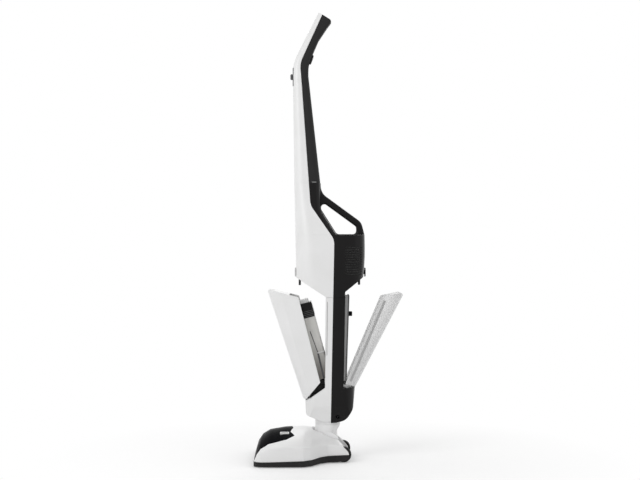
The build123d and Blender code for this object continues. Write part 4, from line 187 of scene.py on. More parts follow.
class Bench(Graph):
    """Builds one material's node graph around a Principled shader."""

    def __init__(self, name: str) -> None:
        """Starts a material with its shader and output.

        Args:
            name: The material's name.
        """
        self.material = bpy.data.materials.new(name)
        self.material.use_nodes = True
        super().__init__(self.material.node_tree)
        self.shader = self.tree.nodes.new("ShaderNodeBsdfPrincipled")
        self.show("ShaderNodeOutputMaterial", Wire(self, self.shader.outputs[0]))

    def band(self, value: Wire, low: float, high: float) -> Wire:
        """A smooth step from 0 at low to 1 at high."""
        settings = {"interpolation_type": "SMOOTHSTEP"}
        return self.node("ShaderNodeMapRange", settings, {"Value": value, "From Min": low, "From Max": high})

    def mix(self, mask: "Wire | float", first: "Wire | Colour", second: "Wire | Colour") -> Wire:
        """A blend of two colours by a mask."""
        settings = {"data_type": "RGBA", "clamp_factor": True}
        return self.node("ShaderNodeMix", settings, {0: mask, 6: first, 7: second}, output=2)

    def place(self, stretch: Triple = (1.0, 1.0, 1.0)) -> Wire:
        """Object coordinates, stretched along the axes.

        Args:
            stretch: How much faster a pattern runs along X, Y and Z.

        Returns:
            The wire with the coordinates.
        """
        spot = self.node("ShaderNodeTexCoord", output="Object")
        return self.node("ShaderNodeMapping", {"vector_type": "POINT"}, {"Vector": spot, "Scale": stretch})

    def noise(self, place: Wire, scale: float, detail: float) -> Wire:
        """Cloudy values from 0 to 1, with so many clouds to a metre."""
        return self.node("ShaderNodeTexNoise", {}, {"Vector": place, "Scale": scale, "Detail": detail})

    def axis(self, place: Wire, name: str) -> Wire:
        """One coordinate of a place, by its letter."""
        return self.node("ShaderNodeSeparateXYZ", {}, {0: place}, output=name)

    def soft_edge(self, radius: float) -> Wire:
        """A normal that rounds edges over a radius."""
        return self.node("ShaderNodeBevel", {"samples": 4}, {"Radius": radius})

    def rim(self, blend: float) -> Wire:
        """How far a face turns away from the eye, for gloss and see-through plastic."""
        return self.node("ShaderNodeLayerWeight", {}, {"Blend": blend}, output="Facing")

    def edge_mask(self, soft: Wire) -> Wire:
        """Where an edge is rounded.

        Args:
            soft: The normal that rounds the edges.

        Returns:
            0 on plain faces, up to 1 on edges.
        """
        flat = self.node("ShaderNodeNewGeometry", output="Normal")
        settings = {"operation": "DOT_PRODUCT"}
        facing = self.node("ShaderNodeVectorMath", settings, {0: soft, 1: flat}, output="Value")
        return self.band(facing, 0.995, 0.86)

    def bump(self, height: Wire, distance: float, normal: Wire | None = None) -> Wire:
        """A relief of that height on the surface.

        Args:
            height: Values from 0 to 1.
            distance: The relief's depth in metres.
            normal: The normal it starts from.

        Returns:
            The wire with the new normal.
        """
        inputs = {"Height": height, "Distance": distance, "Strength": 1.0}
        if normal is not None:
            inputs["Normal"] = normal
        return self.node("ShaderNodeBump", {}, inputs)

    def surface(self, values: Mapping[str, Any]) -> None:
        """Sets or links the shader's own sockets by name."""
        for name, value in values.items():
            self.feed(self.shader.inputs[name], value)


@dataclass(frozen=True)
class Finish:
    """A finish with its own material, made once and kept by its name."""

    name: str
    slot: str

    def paint(self, bench: Bench) -> None:
        """Draws the finish's nodes; each kind of finish has its own."""
        raise NotImplementedError(self.name)

    def material(self) -> bpy.types.Material:
        """Makes the material at its first use.

        Returns:
            The finish's material.
        """
        made = bpy.data.materials.get(self.name)
        if made is None:
            bench = Bench(self.name)
            self.paint(bench)
            made = bench.material
        return made


@dataclass(frozen=True)
class Moulding(Finish):
    """Moulded plastic with a fine spark-eroded grain, cloudy gloss and lightly rubbed edges."""

    colour: Colour = (0.8, 0.8, 0.8)
    shade: Colour = (0.76, 0.76, 0.75)
    rubbed: Colour = (0.86, 0.86, 0.86)
    roughness: float = 0.36
    gloss_spread: float = 0.1
    specular: float = 0.5
    grain: float = 1400.0
    depth: float = 0.00004
    softness: float = 0.0008
    wear: float = 0.5
    rim_gloss: float = 0.0

    def paint(self, bench: Bench) -> None:
        """Draws grain, clouds, handling haze and rubbed edges.

        Args:
            bench: The material's graph.
        """
        spot = bench.place()
        grain = bench.noise(spot, self.grain, 3.0)
        cloud = bench.noise(spot, 14.0, 4.0)
        haze = bench.noise(bench.place((1.0, 1.0, 0.22)), 60.0, 5.0)
        soft = bench.soft_edge(self.softness)
        edge = bench.edge_mask(soft)
        base = bench.mix(bench.band(cloud, 0.35, 0.75), self.colour, self.shade)
        scuffed = edge * self.wear * bench.band(haze, 0.3, 0.6)
        rough = self.roughness + (haze - 0.5) * self.gloss_spread + (grain - 0.5) * (0.5 * self.gloss_spread)
        bench.surface({
            "Base Color": bench.mix(scuffed, base, self.rubbed),
            "Roughness": rough,
            "Specular IOR Level": self.specular,
            "Normal": bench.bump(grain, self.depth, soft),
        })
        if self.rim_gloss:
            bench.surface({"Coat Weight": bench.rim(0.3) * self.rim_gloss, "Coat Roughness": 0.16})


@dataclass(frozen=True)
class Polished(Finish):
    """Polished plastic with faint wiping marks and a few fine scratches."""

    colour: Colour = (0.006, 0.006, 0.007)
    roughness: float = 0.2
    specular: float = 0.0012
    softness: float = 0.0008

    def paint(self, bench: Bench) -> None:
        """Draws wiping marks, dust and scratches over a deep base.

        Args:
            bench: The material's graph.
        """
        wipe = bench.noise(bench.place((0.3, 1.0, 1.0)), 45.0, 6.0)
        dust = bench.noise(bench.place(), 900.0, 2.0)
        line = bench.noise(bench.place((9.0, 0.6, 1.0)), 140.0, 2.0)
        scratch = bench.band(line, 0.70, 0.74)
        soft = bench.soft_edge(self.softness)
        fleck = bench.band(dust, 0.72, 0.80)
        rough = self.roughness + bench.band(wipe, 0.4, 0.8) * 0.08 + scratch * 0.12
        bench.surface({
            "Base Color": bench.mix(fleck * 0.4, self.colour, (0.05, 0.05, 0.05)),
            "Roughness": rough,
            "Specular IOR Level": self.specular,
            "Normal": bench.bump(scratch, 0.00001, soft),
        })


@dataclass(frozen=True)
class Clear(Finish):
    """See-through plastic that turns denser where it is seen edge on, with flow lines and a tone that can
    turn darker towards the bottom.
    """

    colour: Colour = (0.95, 0.95, 0.95)
    dense: Colour = (0.7, 0.7, 0.7)
    thin: float = 0.44
    thick: float = 0.76
    roughness: float = 0.16
    # The colour the plastic turns towards the bottom, where it also grows denser; None keeps it even.
    dust: Colour | None = None
    darkening_full: float = 0.0
    darkening_start: float = 1.0

    def paint(self, bench: Bench) -> None:
        """Draws haze, flow lines, the denser rim and the darker tone towards the bottom.

        Args:
            bench: The material's graph.
        """
        spot = bench.place()
        haze = bench.noise(bench.place((1.0, 1.0, 0.35)), 38.0, 5.0)
        flow = bench.noise(bench.place((5.0, 5.0, 0.25)), 60.0, 3.0)
        rim = bench.rim(0.42)
        colour = bench.mix(rim * 0.7, self.colour, self.dense)
        cover = self.thin + (haze - 0.5) * 0.06 + rim * (self.thick - self.thin)
        # Darker and denser towards the bottom, fading in over the given height range.
        if self.dust is not None:
            darker_low = bench.band(bench.axis(spot, "Z") + (haze - 0.5) * 0.03, self.darkening_start, self.darkening_full)
            colour = bench.mix(darker_low, colour, self.dust)
            cover = cover + darker_low * 0.35
        bench.surface({
            "Base Color": colour,
            "Roughness": self.roughness + (flow - 0.5) * 0.1,
            "Specular IOR Level": 0.3,
            "Alpha": bench.math("MINIMUM", cover, 1.0),
        })


@dataclass(frozen=True)
class Rubber(Finish):
    """Matt rubber with a coarse grain and dusty high spots."""

    colour: Colour = (0.012, 0.012, 0.012)
    dusty: Colour = (0.06, 0.058, 0.055)

    def paint(self, bench: Bench) -> None:
        """Draws the grain and the dust that rubber picks up.

        Args:
            bench: The material's graph.
        """
        grain = bench.noise(bench.place(), 1600.0, 3.0)
        dust = bench.noise(bench.place(), 120.0, 5.0)
        soft = bench.soft_edge(0.0006)
        bench.surface({
            "Base Color": bench.mix(bench.band(dust, 0.45, 0.8) * 0.6, self.colour, self.dusty),
            "Roughness": 0.68 + (dust - 0.5) * 0.3,
            "Specular IOR Level": 0.25,
            "Normal": bench.bump(grain, 0.00008, soft),
        })


@dataclass(frozen=True)
class Pleated(Finish):
    """Felted filter cloth: crossed threads with grey dust in the weave."""

    colour: Colour = (0.035, 0.035, 0.036)
    fluff: Colour = (0.12, 0.118, 0.115)
    threads: float = 900.0

    def paint(self, bench: Bench) -> None:
        """Draws two crossed sets of threads and the dust between them.

        Args:
            bench: The material's graph.
        """
        spot = bench.place()
        inputs = {"Vector": spot, "Scale": self.threads}
        warp, weft = (bench.node("ShaderNodeTexWave", {"bands_direction": way}, inputs) for way in "ZY")
        cloud = bench.noise(spot, 80.0, 5.0)
        weave = warp * weft
        dusty = bench.band(cloud, 0.4, 0.75) * (0.35 + weave * 0.5)
        bench.surface({
            "Base Color": bench.mix(dusty, self.colour, self.fluff),
            "Roughness": 0.9 - weave * 0.1,
            "Specular IOR Level": 0.2,
            "Normal": bench.bump(weave, 0.00015),
        })


@dataclass(frozen=True)
class Nylon(Finish):
    """Bristle nylon whose strands differ a little from each other."""

    colour: Colour = (0.02, 0.02, 0.022)
    tip: Colour = (0.16, 0.16, 0.17)

    def paint(self, bench: Bench) -> None:
        """Draws the strands' different shades and gloss.

        Args:
            bench: The material's graph.
        """
        strand = bench.noise(bench.place(), 420.0, 1.0)
        cloud = bench.noise(bench.place(), 60.0, 3.0)
        bench.surface({
            "Base Color": bench.mix(bench.band(strand, 0.35, 0.75), self.colour, self.tip),
            "Roughness": 0.42 + (cloud - 0.5) * 0.3,
            "Specular IOR Level": 0.4,
            "Normal": bench.bump(strand, 0.0001),
        })


@dataclass(frozen=True)
class Metal(Finish):
    """Turned or drawn metal with fine marks along one axis and a dull film in places."""

    colour: Colour = (0.56, 0.56, 0.57)
    film: Colour = (0.34, 0.33, 0.32)
    marks: Triple = (1.0, 0.04, 1.0)
    roughness: float = 0.28

    def paint(self, bench: Bench) -> None:
        """Draws the tool marks and the film.

        Args:
            bench: The material's graph.
        """
        mark = bench.noise(bench.place(self.marks), 1800.0, 3.0)
        cloud = bench.noise(bench.place(), 90.0, 5.0)
        soft = bench.soft_edge(0.0003)
        dull = bench.band(cloud, 0.5, 0.8)
        bench.surface({
            "Base Color": bench.mix(dull * 0.6, self.colour, self.film),
            "Metallic": 1.0 - dull * 0.25,
            "Roughness": self.roughness + (mark - 0.5) * 0.25 + dull * 0.2,
            "Normal": bench.bump(mark, 0.00002, soft),
        })


@dataclass(frozen=True)
class CellWrap(Finish):
    """Shrink wrap of a battery cell with bare metal towards the ends."""

    colour: Colour = (0.02, 0.09, 0.16)
    crease: Colour = (0.05, 0.16, 0.26)
    bare: Colour = (0.5, 0.5, 0.5)
    bottom: float = 0.5655
    top: float = 0.6265
    fade: float = 0.001

    def paint(self, bench: Bench) -> None:
        """Draws the wrap between its two shrunk edges.

        Args:
            bench: The material's graph.
        """
        height = bench.axis(bench.place(), "Z")
        wrinkle = bench.noise(bench.place((1.0, 1.0, 6.0)), 160.0, 3.0)
        below = bench.band(height, self.bottom + self.fade, self.bottom)
        ends = below + bench.band(height, self.top - self.fade, self.top)
        wrap = bench.mix(wrinkle * 0.4, self.colour, self.crease)
        bench.surface({
            "Base Color": bench.mix(ends, wrap, self.bare),
            "Metallic": ends * 0.9,
            "Roughness": 0.3 + (wrinkle - 0.5) * 0.2,
            "Normal": bench.bump(wrinkle, 0.00006),
        })


@dataclass(frozen=True)
class BoardFinish(Finish):
    """A circuit board's green mask with copper runs under it."""

    colour: Colour = (0.012, 0.11, 0.04)
    copper: Colour = (0.05, 0.24, 0.08)

    def paint(self, bench: Bench) -> None:
        """Draws the runs as a brick pattern under the mask.

        Args:
            bench: The material's graph.
        """
        spot = bench.place()
        settings = {"offset": 0.5, "squash": 1.0}
        inputs = {
            "Vector": spot, "Scale": 90.0, "Color1": self.copper, "Color2": self.colour,
            "Mortar": self.colour, "Mortar Size": 0.06,
        }
        runs = bench.node("ShaderNodeTexBrick", settings, inputs)
        cloud = bench.noise(spot, 300.0, 3.0)
        bench.surface({
            "Base Color": bench.mix(cloud * 0.3, runs, self.colour),
            "Roughness": 0.35 + (cloud - 0.5) * 0.2,
            "Normal": bench.bump(cloud, 0.00003),
        })


WHITE_SHELL = Moulding(
    "satin_white_shell", "white_shell", colour=(0.88, 0.88, 0.88), shade=(0.85, 0.85, 0.847),
    rubbed=(0.92, 0.92, 0.92),
)
DARK_SHELL = Moulding(
    "fine_matt_charcoal", "dark_shell", colour=(0.0062, 0.0056, 0.0058), shade=(0.0048, 0.0044, 0.0045),
    rubbed=(0.05, 0.05, 0.05), roughness=0.36, specular=0.15, depth=0.00005, wear=0.35, rim_gloss=0.7,
)
SOLE_SHELL = Moulding(
    "matt_sole_moulding", "dark_shell", colour=(0.021, 0.0205, 0.0207), shade=(0.017, 0.0166, 0.0168),
    rubbed=(0.07, 0.07, 0.07), roughness=0.5, specular=0.15, wear=0.5,
)
GRIP_SHELL = Moulding(
    "soft_touch_grip", "dark_shell", colour=(0.023, 0.0228, 0.023), shade=(0.019, 0.0188, 0.019),
    rubbed=(0.06, 0.06, 0.06), roughness=0.56, specular=0.15, grain=900.0, depth=0.0001, wear=0.4,
)
GREY_PLATE = Moulding(
    "grey_moulding", "grey_plate", colour=(0.46, 0.46, 0.46), shade=(0.42, 0.42, 0.415),
    rubbed=(0.58, 0.58, 0.58), roughness=0.45, specular=0.4,
)
LIGHT_GREY = Moulding(
    "satin_light_grey", "light_grey", colour=(0.62, 0.62, 0.62), shade=(0.58, 0.58, 0.575),
    rubbed=(0.72, 0.72, 0.72), roughness=0.34,
)
CORE_SHELL = Moulding(
    "brush_core_moulding", "core", colour=(0.09, 0.09, 0.095), shade=(0.07, 0.07, 0.075),
    rubbed=(0.2, 0.2, 0.2), roughness=0.4, specular=0.4,
)
HUB_SHELL = Moulding(
    "wheel_hub_moulding", "rubber", colour=(0.016, 0.016, 0.0165), shade=(0.012, 0.012, 0.0125),
    rubbed=(0.08, 0.08, 0.08), roughness=0.5, specular=0.2,
)
BLACK_GLOSS = Polished("polished_black", "black_gloss")
CLEAR_CUP = Clear("clear_cup_plastic", "clear_cup")
CLEAR_RIM = Clear("clear_rim_plastic", "clear_cup", thin=0.24, thick=0.5)
CUP_RAIL = Clear("cup_rail_plastic", "clear_cup", colour=(0.5, 0.5, 0.5), dense=(0.4, 0.4, 0.4), thin=0.7)
# The smoky cup turns darker and denser towards its bottom.
SMOKE_CUP = Clear(
    "smoke_cup_plastic", "smoke_cup", colour=(0.84, 0.83, 0.8), dense=(0.5, 0.49, 0.47), thin=0.55, thick=0.9,
    dust=(0.25, 0.232, 0.215), darkening_full=0.2, darkening_start=0.3,
)
RUBBER = Rubber("matt_rubber", "rubber")
SEAL_RUBBER = Rubber("grey_seal_rubber", "rubber", colour=(0.09, 0.09, 0.09), dusty=(0.16, 0.158, 0.155))
FILTER_CLOTH = Pleated("filter_cloth", "filter")
EXHAUST_CLOTH = Pleated("exhaust_cloth", "filter", colour=(0.1, 0.1, 0.1), fluff=(0.17, 0.168, 0.165))
BRISTLE = Nylon("bristle_nylon", "bristle")
STEEL = Metal("drawn_steel", "steel")
DARK_STEEL = Metal(
    "blued_steel", "steel", colour=(0.09, 0.09, 0.095), film=(0.05, 0.05, 0.05), roughness=0.45,
)
MOTOR_METAL = Metal(
    "motor_zinc", "motor", colour=(0.40, 0.40, 0.41), film=(0.22, 0.215, 0.21), roughness=0.36,
)
CELL_WRAP = CellWrap("cell_shrink_wrap", "cell")
BOARD = BoardFinish("circuit_board", "board")


class Workshop:
    """Makes pieces from meshes and puts them on their bodies."""

    def __init__(self, frame: Mapping[str, Any]) -> None:
        """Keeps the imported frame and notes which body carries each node.
        """
        self.frame = frame
        groups = frame["record"]["behaviour"]["bodies"]
        self.body_of = {node: body for body, nodes in groups.items() for node in nodes}

    def piece(
        self, name: str, shape: bmesh.types.BMesh, finish: Finish, body: str, crease: float = CREASE_ANGLE,
        stands_for: Sequence[str] = (),
    ) -> bpy.types.Object:
        """Turns a finished shape into a piece that rides on a body.

        Args:
            name: The piece's name.
            shape: Its mesh, which is freed.
            finish: Its finish.
            body: The body it moves with.
            crease: Edges sharper than this many degrees stay sharp.
            stands_for: Nodes that it replaces.

        Returns:
            The piece.
        """
        for face in shape.faces:
            face.smooth = True
        mesh = bpy.data.meshes.new(name)
        shape.to_mesh(mesh)
        shape.free()
        if "custom_normal" in mesh.attributes:
            mesh.attributes.remove(mesh.attributes["custom_normal"])
        mesh.set_sharp_from_angle(angle=math.radians(crease))
        mesh.materials.clear()
        mesh.materials.append(finish.material())
        made = bpy.data.objects.new(name, mesh)
        bpy.context.scene.collection.objects.link(made)
        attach(made, body)
        if stands_for:
            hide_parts(*stands_for)
        log.info("%s on %s: %d faces, %s", name, body, len(mesh.polygons), finish.name)
        return made

    def copy(self, node: str) -> bmesh.types.BMesh:
        """Copies a solid's mesh and merges its loose corners.

        Args:
            node: The solid's name.

        Returns:
            The copy.
        """
        shape = bmesh.new()
        shape.from_mesh(self.frame["nodes"][node].data)
        bmesh.ops.remove_doubles(shape, verts=shape.verts, dist=MERGE_DISTANCE)
        return shape

    def skin(self, node: str, finish: Finish, shape: bmesh.types.BMesh | None = None) -> None:
        """Makes a piece with even shading that stands for a solid.

        Args:
            node: The solid's name.
            finish: The piece's finish.
            shape: The piece's mesh, which is freed, or nothing for the solid's own.
        """
        if shape is None:
            shape = self.copy(node)
        made = self.piece(f"{node}_skin", shape, finish, self.body_of[node], stands_for=(node,))
        even = made.modifiers.new("even_normals", "WEIGHTED_NORMAL")
        even.keep_sharp = True

    def skins(self, finishes: Mapping[str, Finish]) -> None:
        """Skins several solids, each in its own finish."""
        for node, finish in finishes.items():
            self.skin(node, finish)

    def reach(self, node: str, way: Vector) -> float:
        """How far a solid reaches along a direction, measured from the origin."""
        return max(way.dot(vertex.co) for vertex in self.frame["nodes"][node].data.vertices)

    def touch(self, node: str, spot: Vector, way: Vector) -> Vector:
        """Where a straight line first meets a solid.

        Args:
            node: The solid's name.
            spot: Where the line starts.
            way: The line's direction.

        Returns:
            The first point of the solid on the line.
        """
        shape = bmesh.new()
        shape.from_mesh(self.frame["nodes"][node].data)
        met = BVHTree.FromBMesh(shape).ray_cast(spot, way)[0]
        shape.free()
        return met

    @staticmethod
    def mirrored(spot: Sequence[float], side: Side) -> Vector:
        """A place on one of the two sides."""
        return Vector(spot) * Vector((1.0, side.value, 1.0))

    @staticmethod
    def add_bar(
        shape: bmesh.types.BMesh, size: Sequence[float], place: Matrix, easing: float, rounds: int = 2,
    ) -> None:
        """Adds a bar with eased edges to a shape.

        Args:
            shape: The mesh that gets the bar.
            size: The bar's three lengths.
            place: Where its middle goes and how it is turned.
            easing: The radius of its edges.
            rounds: Faces across each eased edge.
        """
        made = bmesh.ops.create_cube(shape, size=1.0, matrix=place @ Matrix.Diagonal((*size, 1.0)))
        edges = list({edge for vertex in made["verts"] for edge in vertex.link_edges})
        bmesh.ops.bevel(
            shape, geom=edges, offset=easing, offset_type="OFFSET", segments=rounds, profile=0.5,
            affect="EDGES", material=-1, clamp_overlap=True,
        )

    @staticmethod
    def add_rail(
        shape: bmesh.types.BMesh, start: Vector, end: Vector, section: Sequence[float], easing: float,
    ) -> None:
        """Adds a straight rail with eased edges to a shape.

        Args:
            shape: The mesh that gets the rail.
            start: The middle of its first end.
            end: The middle of its other end.
            section: Its width along X and its thickness along Y.
            easing: The radius of its edges.
        """
        run = end - start
        turn = Vector((0.0, 0.0, 1.0)).rotation_difference(run).to_matrix().to_4x4()
        Workshop.add_bar(shape, (*section, run.length), Matrix.Translation((start + end) / 2) @ turn, easing)

    @staticmethod
    def add_turned(
        shape: bmesh.types.BMesh, profile: Sequence[Pair], centre: Vector, steps: int,
    ) -> None:
        """Adds a ring turned about an axis along Y to a shape.

        Args:
            shape: The mesh that gets the ring.
            profile: The closed outline as pairs of radius and place along the axis.
            centre: A point of the axis.
            steps: Faces around the ring.
        """
        points = [shape.verts.new(centre + Vector((radius, along, 0.0))) for radius, along in profile]
        edges = [shape.edges.new((points[index - 1], points[index])) for index in range(len(points))]
        bmesh.ops.spin(
            shape, geom=points + edges, cent=centre, axis=(0.0, 1.0, 0.0), dvec=(0.0, 0.0, 0.0),
            angle=2 * math.pi, steps=steps, use_merge=True, use_duplicate=False,
        )
        bmesh.ops.remove_doubles(shape, verts=shape.verts, dist=MERGE_DISTANCE)
        bmesh.ops.recalc_face_normals(shape, faces=shape.faces)


@dataclass(frozen=True)
class Ridges:
    """A row of eased bars across a face that is pushed.

    The face looks outward and the row runs along, both before the tilt in degrees about the hinge axis.
    """

    size: Triple
    pitch: float
    count: int
    middle: Triple
    outward: Triple
    along: Triple
    tilt: float = 0.0
    hinge: str = "Y"
    easing: float = 0.0003

    def lay(self, shop: Workshop, name: str, node: str, finish: Finish) -> None:
        """Makes the ridges.

        Args:
            shop: Where they are made.
            name: The new piece's name.
            node: The solid whose face gets them.
            finish: Their finish.
        """
        shape = bmesh.new()
        turn = Matrix.Rotation(math.radians(self.tilt), 4, self.hinge)
        outward = turn @ Vector(self.outward)
        step = turn @ Vector(self.along) * self.pitch
        middle = Vector(self.middle)
        face = middle + outward * (shop.reach(node, outward) - outward.dot(middle))
        for ridge in range(self.count):
            spot = face + step * (ridge - (self.count - 1) / 2)
            shop.add_bar(shape, self.size, Matrix.Translation(spot) @ turn, self.easing)
        shop.piece(name, shape, finish, shop.body_of[node])


@dataclass
class Handle:
    """The bent grip with its power slider and trigger."""

    shop: Workshop
    slider_ridges: Ridges = Ridges(
        size=(0.0012, 0.0095, 0.0011), pitch=0.0032, count=3, middle=(0.0, 0.0, 0.953),
        outward=(-1.0, 0.0, 0.0), along=(0.0, 0.0, 1.0),
    )
    trigger_ridges: Ridges = Ridges(
        size=(0.0012, 0.010, 0.0012), pitch=0.0036, count=4, middle=(-0.0495, 0.0, 0.99835),
        outward=(1.0, 0.0, 0.0), along=(0.0, 0.0, 1.0), tilt=19.0,
    )
    # The light grey bars that paint the highlight along the handle-body seam.
    seam_highlight_middle: Triple = (-0.0395, 0.0278, 0.6896)
    seam_highlight_size: Triple = (0.011, 0.0014, 0.0013)
    seam_highlight_easing: float = 0.0004
    end_slope: float = 32.0
    end_flat: float = 0.0001
    end_reach: float = 0.016
    end_round: float = 0.0078
    end_cuts: int = 6

    def round_end(self) -> None:
        """The grip's dark shell with the back corner of its end rounded off by a row of narrow cuts."""
        shape = self.shop.copy("handle_back")
        lean = math.radians(self.end_slope)
        outward = Vector((math.sin(lean), 0.0, math.cos(lean)))
        rearward = Vector((math.cos(lean), 0.0, -math.sin(lean)))
        end = max(outward.dot(vertex.co) for vertex in shape.verts)
        tip = [vertex for vertex in shape.verts if outward.dot(vertex.co) > end - self.end_flat]
        corner = max(rearward.dot(vertex.co) for vertex in tip)
        centre = outward * (end - self.end_round) + rearward * (corner - self.end_round)
        for cut in range(1, self.end_cuts):
            share = math.pi / 2 * cut / self.end_cuts
            way = outward * math.cos(share) + rearward * math.sin(share)
            near = [
                face for face in shape.faces
                if any(outward.dot(vertex.co) > end - self.end_reach for vertex in face.verts)
            ]
            around = {part for face in near for part in (face, *face.verts, *face.edges)}
            made = bmesh.ops.bisect_plane(
                shape, geom=list(around), dist=MERGE_DISTANCE, plane_co=centre + way * self.end_round,
                plane_no=way, clear_outer=True, clear_inner=False,
            )
            rim = [edge for edge in made["geom_cut"] if isinstance(edge, bmesh.types.BMEdge)]
            bmesh.ops.holes_fill(shape, edges=rim, sides=0)
        bmesh.ops.recalc_face_normals(shape, faces=shape.faces)
        self.shop.skin("handle_back", GRIP_SHELL, shape)

    def add_seam_highlights(self) -> None:
        """Light grey bars at the joint of handle and body, on both sides: a painted highlight along that
        seam.
        """
        shape = bmesh.new()
        for side in Side:
            spot = self.shop.mirrored(self.seam_highlight_middle, side)
            self.shop.add_bar(shape, self.seam_highlight_size, Matrix.Translation(spot), self.seam_highlight_easing)
        self.shop.piece("handle_seam_highlights", shape, GREY_PLATE, "body")

    def dress(self) -> None:
        """Skins the two grip shells and what moves on them."""
        self.shop.skins({
            "handle_front": WHITE_SHELL,
            "slider_plate": CORE_SHELL,
            "power_slider": CORE_SHELL,
            "trigger_button": GRIP_SHELL,
            "control_board": BOARD,
        })

    def build(self) -> None:
        """Makes the grip."""
        self.dress()
        self.round_end()
        self.slider_ridges.lay(self.shop, "slider_ridges", "power_slider", CORE_SHELL)
        self.trigger_ridges.lay(self.shop, "trigger_ridges", "trigger_button", CORE_SHELL)
        self.add_seam_highlights()


@dataclass
class MotorBody:
    """The body with its battery, carry loop and motor housing."""

    shop: Workshop
    pad_middle: Triple = (0.0, 0.0, 0.466)
    pad_ridge: Triple = (0.0012, 0.017, 0.0012)
    pad_pitch: float = 0.0042
    pad_ridges: int = 3
    pad_easing: float = 0.0004
    boot_size: Triple = (0.0058, 0.0126, 0.0165)
    boot_inset: float = 0.0025
    boot_share: float = 0.48
    boot_easing: float = 0.0016

    def dress_latch(self, node: str, way: float, finish: Finish) -> None:
        """Thumb ridges across a latch's pad and a boot on its bolt.

        Args:
            node: The latch.
            way: The sign of X on the side where its pad shows.
            finish: The ridges' finish.
        """
        row = Ridges(
            self.pad_ridge, self.pad_pitch, self.pad_ridges, self.pad_middle,
            outward=(way, 0.0, 0.0), along=(0.0, 0.0, 1.0), easing=self.pad_easing,
        )
        row.lay(self.shop, f"{node}_ridges", node, finish)
        boot = bmesh.new()
        low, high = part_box(node)
        tip = high[0] if way < 0 else low[0]
        middle = (tip + way * self.boot_inset, 0.0, low[2] + self.boot_share * self.boot_size[2])
        self.shop.add_bar(boot, self.boot_size, Matrix.Translation(middle), self.boot_easing, 3)
        self.shop.piece(f"{node}_boot", boot, RUBBER, node)

    def dress(self) -> None:
        """Skins the shells, the loop and what lies inside them."""
        self.shop.skins({
            "body_front": WHITE_SHELL,
            "body_back": DARK_SHELL,
            "battery_cells": CELL_WRAP,
            "battery_holder": CORE_SHELL,
            "carry_handle": DARK_SHELL,
            "housing_front": WHITE_SHELL,
            "motor_housing": DARK_SHELL,
            "motor_deck": CORE_SHELL,
            "fan_case": CORE_SHELL,
            "motor_can": MOTOR_METAL,
            "motor_shaft": STEEL,
            "fan_impeller": LIGHT_GREY,
            "exhaust_filter": EXHAUST_CLOTH,
            "front_latch": LIGHT_GREY,
            "rear_latch": DARK_SHELL,
        })

    def build(self) -> None:
        """Makes the body."""
        self.dress()
        self.dress_latch("front_latch", -1.0, LIGHT_GREY)
        self.dress_latch("rear_latch", 1.0, DARK_SHELL)


@dataclass
class Column:
    """The column between the containers, its foot and its seal plate."""

    shop: Workshop
    pin_middle: Triple = (0.0185, -0.0365, 0.109)
    pin_radius: float = 0.0009
    pin_length: float = 0.0072
    pin_bore: float = 0.0002
    pin_sides: int = 20
    # Ends and section of the dark strips that paint the shade in the gap behind the column's front edge.
    shade_line_foot: Pair = (-0.0080, 0.262)
    shade_line_top: Pair = (-0.0068, 0.394)
    shade_line_section: Pair = (0.0009, 0.0006)
    shade_line_easing: float = 0.0002
    lip_low: Triple = (0.0338, -0.043, 0.1888)
    lip_high: Triple = (0.0392, 0.043, 0.1992)
    lip_easing: float = 0.0012

    def add_lip(self) -> None:
        """The rubber lip under the seal plate, which closes the gap above the ledge."""
        shape = bmesh.new()
        low, high = Vector(self.lip_low), Vector(self.lip_high)
        self.shop.add_bar(shape, high - low, Matrix.Translation((low + high) / 2), self.lip_easing, 3)
        self.shop.piece("plate_lip", shape, SEAL_RUBBER, "body")

    def add_gap_shade_lines(self) -> None:
        """Thin dark strips behind the column's front edge on both sides: painted shade in the gap there."""
        shape = bmesh.new()
        for side in Side:
            inward = Vector((0.0, -side.value, 0.0))
            ends = [
                self.shop.touch("column_front", Vector((along, side.value, height)), inward)
                for along, height in (self.shade_line_foot, self.shade_line_top)
            ]
            self.shop.add_rail(shape, *ends, self.shade_line_section, self.shade_line_easing)
        self.shop.piece("column_gap_shade_lines", shape, SEAL_RUBBER, "body")

    def add_pin(self) -> None:
        """The contact pin in the middle of the charging socket."""
        shape = bmesh.new()
        half = self.pin_length / 2
        tip = self.pin_radius / 2
        profile = (
            (self.pin_bore, half), (self.pin_radius, half), (self.pin_radius, tip - half), (tip, -half),
            (self.pin_bore, -half),
        )
        self.shop.add_turned(shape, profile, Vector(self.pin_middle), self.pin_sides)
        self.shop.piece("socket_pin", shape, STEEL, "body")

    def dress(self) -> None:
        """Skins the column's shells and fittings."""
        self.shop.skins({
            "column_front": WHITE_SHELL,
            "column_back": DARK_SHELL,
            "duct_cover": GREY_PLATE,
            "charge_socket": BLACK_GLOSS,
            "bin_hinge_pin": DARK_STEEL,
            "cup_hinge_pin": DARK_STEEL,
            "seal_plate": GREY_PLATE,
            "seal_gasket": SEAL_RUBBER,
            "plate_knob": BLACK_GLOSS,
            "swivel_collar": WHITE_SHELL,
        })

    def build(self) -> None:
        """Makes the column."""
        self.dress()
        self.add_pin()
        self.add_lip()
        self.add_gap_shade_lines()


